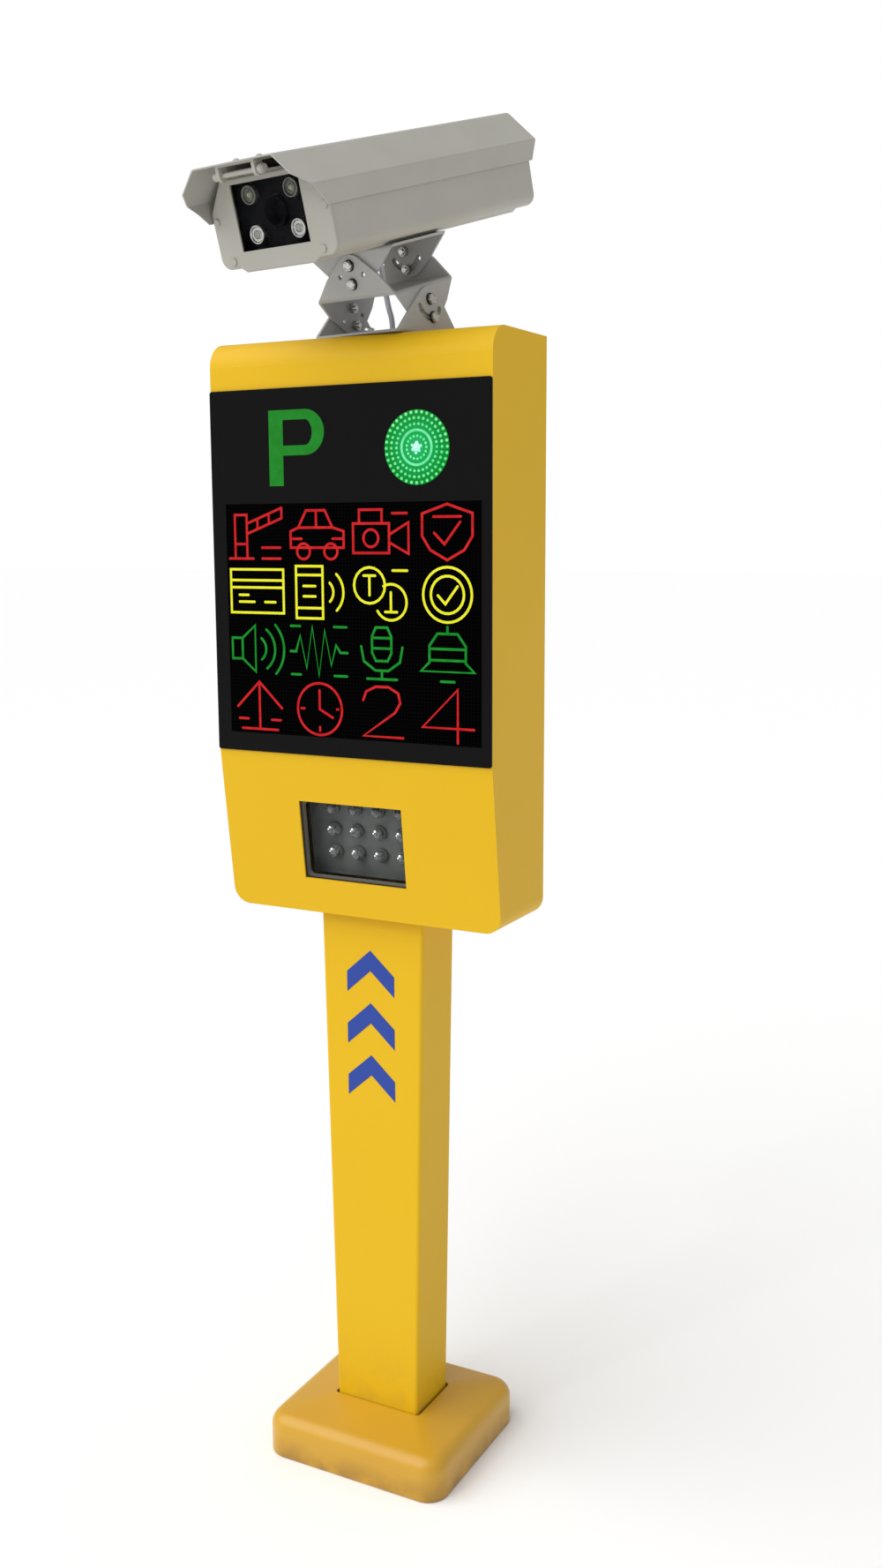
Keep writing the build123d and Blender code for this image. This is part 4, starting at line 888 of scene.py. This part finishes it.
def grey_coat(name, light, deep, rough):
    """Grey powder coat with a fine stipple and slightly polished patches."""
    finish = Finish(name, Specular_IOR_Level=0.3)
    patch = finish.ramp(finish.noise(16, 5), 0.3, 0.7)
    finish.feed("Base Color", finish.blend(patch, light, deep))
    finish.polish(30, 4, 0.16, rough)
    finish.bump(finish.noise(900, 2, 0.6) + finish.noise(9, 2) * 0.5, 0.07, 0.0005)
    return finish


pitch_place, pitch_axis = joint_line("pitch")
roll_place, roll_axis = joint_line("roll")
tier_up = pitch_axis.cross(roll_axis).normalized()
if tier_up.z < 0:
    tier_up.negate()
ring_pitch = 0.0011


def worn_grey(name, centre):
    """The bracket's coat with polished rings about a pivot."""
    finish = grey_coat(name, paint(178, 178, 176), paint(171, 171, 169), 0.45)
    ring_wave = finish.reach(tuple(centre))
    ripple = finish.node("ShaderNodeMath", {"operation": "PINGPONG"}, {0: ring_wave, 1: ring_pitch})
    band = finish.ramp(ripple, 0.0, ring_pitch)
    near = finish.ramp(ring_wave, 0.080, 0.064) * finish.ramp(finish.noise(60, 3), 0.5, 0.7)
    finish.feed("Roughness", finish.noise(30, 4) * 0.16 + 0.46 - band * near * 0.22)
    return finish


coat(worn_grey("bracket_grey_lower", pitch_place), "base_channel", "cross_bracket")
coat(worn_grey("bracket_grey_upper", roll_place), "top_channel")


# ------------------------------------------------------------------ bracket screws
# Plated hexagon screws: a chamfered head with a dished crown, a split spring washer, a flat
# washer, a threaded shank and a nut, at each pivot, clamp slot and turning slot.
def hexagon(across, low, high, chamfer, steps=8):
    """A hexagon head whose corners are turned off at the top."""
    inscribed = across / 2
    rings = []
    for height, reach in ((low, 9.0), (high - chamfer, 9.0), (high, inscribed * 0.94)):
        ring = []
        for step in range(6 * steps):
            turn = 2 * math.pi * step / (6 * steps)
            off_flat = (turn + math.pi / 6) % (math.pi / 3) - math.pi / 6
            radius = min(inscribed / math.cos(off_flat), reach)
            ring.append((radius * math.cos(turn), radius * math.sin(turn), height))
        rings.append(ring)
    for share, drop in ((0.8, 0.0), (0.66, 0.0006), (0.2, 0.0007)):
        rings.append([(inscribed * share * math.cos(2 * math.pi * step / (6 * steps)),
                       inscribed * share * math.sin(2 * math.pi * step / (6 * steps)), high - drop)
                      for step in range(6 * steps)])
    return stacked(rings)


def thread(radius, low, high, pitch=0.001):
    """A threaded shank as a stack of ridges."""
    profile = []
    turns = max(int((high - low) / pitch), 1)
    for index in range(turns):
        height = low + (high - low) * index / turns
        profile += [(radius * 0.88, height), (radius, height + (high - low) / turns * 0.5)]
    profile.append((radius * 0.88, high))
    return turned(profile, 20)


def split_washer(radius, bore, low, high):
    """A spring washer: a ring cut through at one side, its ends offset."""
    rings = []
    for step in range(31):
        turn = math.radians(8 + 344 * step / 30)
        lift = (high - low) * 0.25 * step / 30
        ring = []
        for reach, height in ((radius, low + lift), (radius, high - (high - low) * 0.25 + lift),
                              (bore, high - (high - low) * 0.25 + lift), (bore, low + lift)):
            ring.append((reach * math.cos(turn), reach * math.sin(turn), height))
        rings.append(ring)
    return stacked(rings)


screw_shank = 0.003
seat_gap = 0.00006


def screw_forms(points, out, shank):
    """The bright and dark forms of one hexagon screw filling the length of its CAD solid."""
    low, high = span(points, out)
    head = shank * 1.7
    across = shank * 3.3
    face = high - head
    sideways = out.orthogonal().normalized()
    spot = middle(points, (out, sideways, out.cross(sideways).normalized()))
    spot += out * (face - spot.dot(out))
    tail = low - face
    nut_low = tail + shank * 0.7 - seat_gap
    flat_washer = turned([(shank * 2.08, seat_gap), (shank * 2.1, seat_gap + 0.0001), (shank * 2.1, 0.0006),
                          (shank * 2.0, 0.0008), (shank * 1.2, 0.0008)], 40)
    verts, faces = hexagon(across, -nut_low - head, -nut_low, 0.0005)
    nut = [(u, v, -w) for u, v, w in verts], faces
    bright_forms = [hexagon(across, 0.0018, head, 0.0006), thread(shank * 0.98, tail, 0.0002), nut]
    dark_forms = [flat_washer, split_washer(shank * 1.95, shank * 1.02, 0.0008, 0.0019)]
    return ([placed(form, spot, out, tier_up) for form in bright_forms],
            [placed(form, spot, out, tier_up) for form in dark_forms])


dark_steel = mottled("spring_washer_steel", (300, 3), (50, 50, 52), (86, 86, 88), (160, 3, 0.2, 0.3),
                     Metallic=1.0)
for node, centre, axis in (("pan_bolts", None, Vector((0, 0, 1))), ("pitch_bolts", pitch_place, pitch_axis),
                           ("roll_bolts", roll_place, roll_axis)):
    shining, dull = [], []
    for solid in solids_in(node):
        out = axis.copy()
        if centre and (middle(solid, (axis,)) - axis * centre.dot(axis)).dot(axis) < 0:
            out.negate()
        bright_forms, dark_forms = screw_forms(solid, out, screw_shank)
        shining += bright_forms
        dull += dark_forms
    owner = next(name for name, nodes in frame["record"]["behaviour"]["bodies"].items() if node in nodes)
    screws = make_piece(f"{node}_hexagon", join_forms(shining), bright, owner, True)
    make_piece(f"{node}_springs", join_forms(dull), dark_steel, owner, False)
    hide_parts(node)


# ------------------------------------------------------------------ camera leads
# A pale round data lead rises from the cabinet through the turning bush to the middle
# bracket, and on into the camera housing; a rubber grommet lines the hole it passes there.
sheath = mottled("lead_sheath_pale", (60, 3), (236, 237, 246), (224, 225, 238), (90, 3, 0.2, 0.3),
                 (240, 2, 0.05, 0.0003), Specular_IOR_Level=0.5, Coat_Weight=0.4, Coat_Roughness=0.12)


def smooth_line(route, steps=10):
    """A smooth line that starts and ends at the route's ends and is drawn towards its middle points."""
    out = []
    for index in range(len(route) - 2):
        start = route[0] if index == 0 else (route[index] + route[index + 1]) / 2
        stop = route[-1] if index == len(route) - 3 else (route[index + 1] + route[index + 2]) / 2
        for step in range(steps + (1 if index == len(route) - 3 else 0)):
            share = step / steps
            pull = route[index + 1] * 2 * share * (1 - share)
            out.append(start * (1 - share) ** 2 + pull + stop * share ** 2)
    return out


def lead(line, radius, steps=20):
    """A round lead along a line of points."""
    rings = []
    for index, here in enumerate(line):
        along = (line[min(index + 1, len(line) - 1)] - line[max(index - 1, 0)]).normalized()
        side = along.cross(Vector((0, 1, 0))).normalized()
        rise = along.cross(side)
        rings.append([here + side * u + rise * v for u, v in arc(0, 0, radius, 0, 360, steps)[:steps]])
    return stacked(rings)


lead_radius = 0.003
pan_place = joint_line("pan")[0]
pan_side = Vector((pitch_axis.x, pitch_axis.y, 0)).normalized()
cabinet_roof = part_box("cabinet_shell")[1].z
bracket_way = pitch_place + tier_up * 0.015
low_start = Vector((pan_place.x, pan_place.y, cabinet_roof)) + pan_side * 0.007
route = [low_start + Vector((0, 0, -0.05)), low_start + Vector((0, 0, -0.012)),
         low_start + Vector((0, 0, 0.018)) + (bracket_way - low_start) * 0.04, bracket_way - tier_up * 0.02,
         bracket_way]
lower_form = lead(smooth_line(route), lead_radius)
lower_lead = make_piece("camera_lead_lower", lower_form, sheath, None, True)
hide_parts("lower_cable")
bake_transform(lower_lead)
lead_low, lead_high = span(solids_in("upper_cable")[0], tier_up)
upper_foot = bracket_way + tier_up * (lead_low - bracket_way.dot(tier_up))
upper_head = bracket_way + tier_up * (lead_high - bracket_way.dot(tier_up))
upper_line = [upper_foot + (upper_head - upper_foot) * step / 16 for step in range(17)]
upper_form = lead(upper_line, lead_radius)
upper_lead = make_piece("camera_lead_upper", upper_form, sheath, None, True)
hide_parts("upper_cable")
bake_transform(upper_lead)
grommet_side = [(0.00395, 0.0016), (0.006, 0.0017), (0.006, 0.0022), (0.0056, 0.0028), (0.0032, 0.0028)]
grommet_profile = [(radius, -height) for radius, height in reversed(grommet_side)] + grommet_side
grommet = placed(turned(grommet_profile, 28), bracket_way, tier_up)
make_piece("lead_grommet", grommet, rubber, "cross_bracket", True)


# ------------------------------------------------------------------ camera housing and sunshield
# Folded aluminium in a warm light grey coat: a trough with its rail, a rear plate and a
# hinged roof, with the front plate and the hinge parts in a slightly smoother coat.
housing_grey = grey_coat("housing_grey_coat", paint(176, 174, 166), paint(171, 169, 161), 0.4)
plate_grey = grey_coat("end_plate_coat", paint(172, 169, 160), paint(167, 164, 155), 0.38)
coat(housing_grey, "housing_body", "housing_rail", "rear_plate", "sunshield")
coat(plate_grey, "front_plate", "front_plate_screws", "sunshield_hinge_frame", "hinge_yoke", "hinge_rod")


# ------------------------------------------------------------------ camera window
# Black masked board with four round lamps about the lens, behind a flat dark glass: the
# lower two have silvered rings, the upper two pale glass rings with yellow-green dies.
mask = mottled("camera_mask_black", (50, 4), (7, 6, 12), (12, 10, 17), (90, 3, 0.15, 0.5),
               (600, 2, 0.05, 0.0003), Specular_IOR_Level=0.05)
coat(mask, "lamp_board", "camera_module", "lens_barrel", "focus_ring")
coat(pane("camera_glass_dark", paint(10, 8, 15), 0.02), "front_glass")

chrome = mottled("lamp_ring_silver", (260, 3), (176, 176, 172), (232, 232, 228), (150, 3, 0.2, 0.18),
                 Metallic=1.0)
smoked = mottled("lamp_ring_smoked", (200, 3), (36, 36, 38), (70, 70, 70), (120, 3, 0.2, 0.14),
                 Specular_IOR_Level=0.5, Coat_Weight=0.5, Coat_Roughness=0.06)
core_grey = mottled("lamp_core_grey", (500, 3), (112, 112, 112), (176, 176, 172), (90, 3, 0.2, 0.25),
                    Specular_IOR_Level=0.5)
die_green = mottled("lamp_die_yellow_green", (600, 3), (150, 158, 110), (214, 220, 170), (90, 3, 0.2, 0.3),
                    Specular_IOR_Level=0.4)
view_out = -roll_axis
if view_out.y > 0:
    view_out.negate()
cups = sorted(solids_in("lamp_reflectors"), key=lambda points: span(points, tier_up)[0])
glass_axes = (pitch_axis, tier_up, view_out)
silver_forms, smoked_forms, core_forms, pale_forms, die_forms = [], [], [], [], []
core_profile = [(0.0038, -0.002), (0.0038, -0.0012), (0.0034, -0.0005), (0.0024, -0.0002), (0.001, 0.0)]
chip_outline = [(-0.0007, -0.0013), (0.0007, -0.0013), (0.0007, 0.0013), (-0.0007, 0.0013)]
die_chip = slab(chip_outline, -0.001, 0.0002, 0.0003)
for index, cup in enumerate(cups):
    front = span(cup, view_out)[1]
    back = span(cup, view_out)[0]
    spot = middle(cup, glass_axes)
    spot += view_out * (front - spot.dot(view_out))
    reach = (span(cup, pitch_axis)[1] - span(cup, pitch_axis)[0]) / 2
    barrel = turned([(reach - 0.002, back - front), (reach - 0.0012, -0.0063), (reach, -0.0062),
                     (reach, -0.0008), (reach - 0.0006, 0.0), (reach - 0.0013, 0.0),
                     (reach - 0.0019, -0.0008), (reach - 0.0022, -0.0016)], 48)
    trough = turned([(reach - 0.0018, -0.0022), (reach - 0.002, -0.0013), (reach - 0.0034, -0.0019),
                     (reach - 0.0044, -0.0016)], 48)
    inner_ring = bead(arc(0, 0, reach - 0.0049, 0, 360, 40), 0.0006, 0.0011)
    core = turned(core_profile, 32)
    if index < 2:
        silver_forms += [placed(barrel, spot, view_out),
                         placed(inner_ring, spot - view_out * 0.0016, view_out)]
        smoked_forms.append(placed(trough, spot, view_out))
        core_forms.append(placed(core, spot, view_out))
    else:
        smoked_forms += [placed(barrel, spot, view_out), placed(trough, spot, view_out)]
        pale_forms += [placed(inner_ring, spot - view_out * 0.0016, view_out),
                       placed(bead(arc(0, 0, reach - 0.0009, 0, 360, 48), 0.0006, 0.0007), spot, view_out),
                       placed(core, spot - view_out * 0.0006, view_out)]
        for side in (-1, 1):
            die_forms.append(placed(shifted(die_chip, side * 0.0011, 0), spot, view_out))
rings = join_forms(silver_forms)
silver_piece = make_piece("window_lamp_rings", rings, chrome, "camera_housing", True)
make_piece("window_lamp_troughs", join_forms(smoked_forms), smoked, "camera_housing", True)
make_piece("window_lamp_cores", join_forms(core_forms), core_grey, "camera_housing", True)
pale_glass = mottled("lamp_ring_pale_glass", (300, 3), (96, 100, 86), (140, 144, 126), (120, 3, 0.2, 0.12),
                     Specular_IOR_Level=0.6)
make_piece("window_lamp_lips", join_forms(pale_forms), pale_glass, "camera_housing", True)
make_piece("window_lamp_dies", join_forms(die_forms), die_green, "camera_housing")
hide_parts("lamp_reflectors")
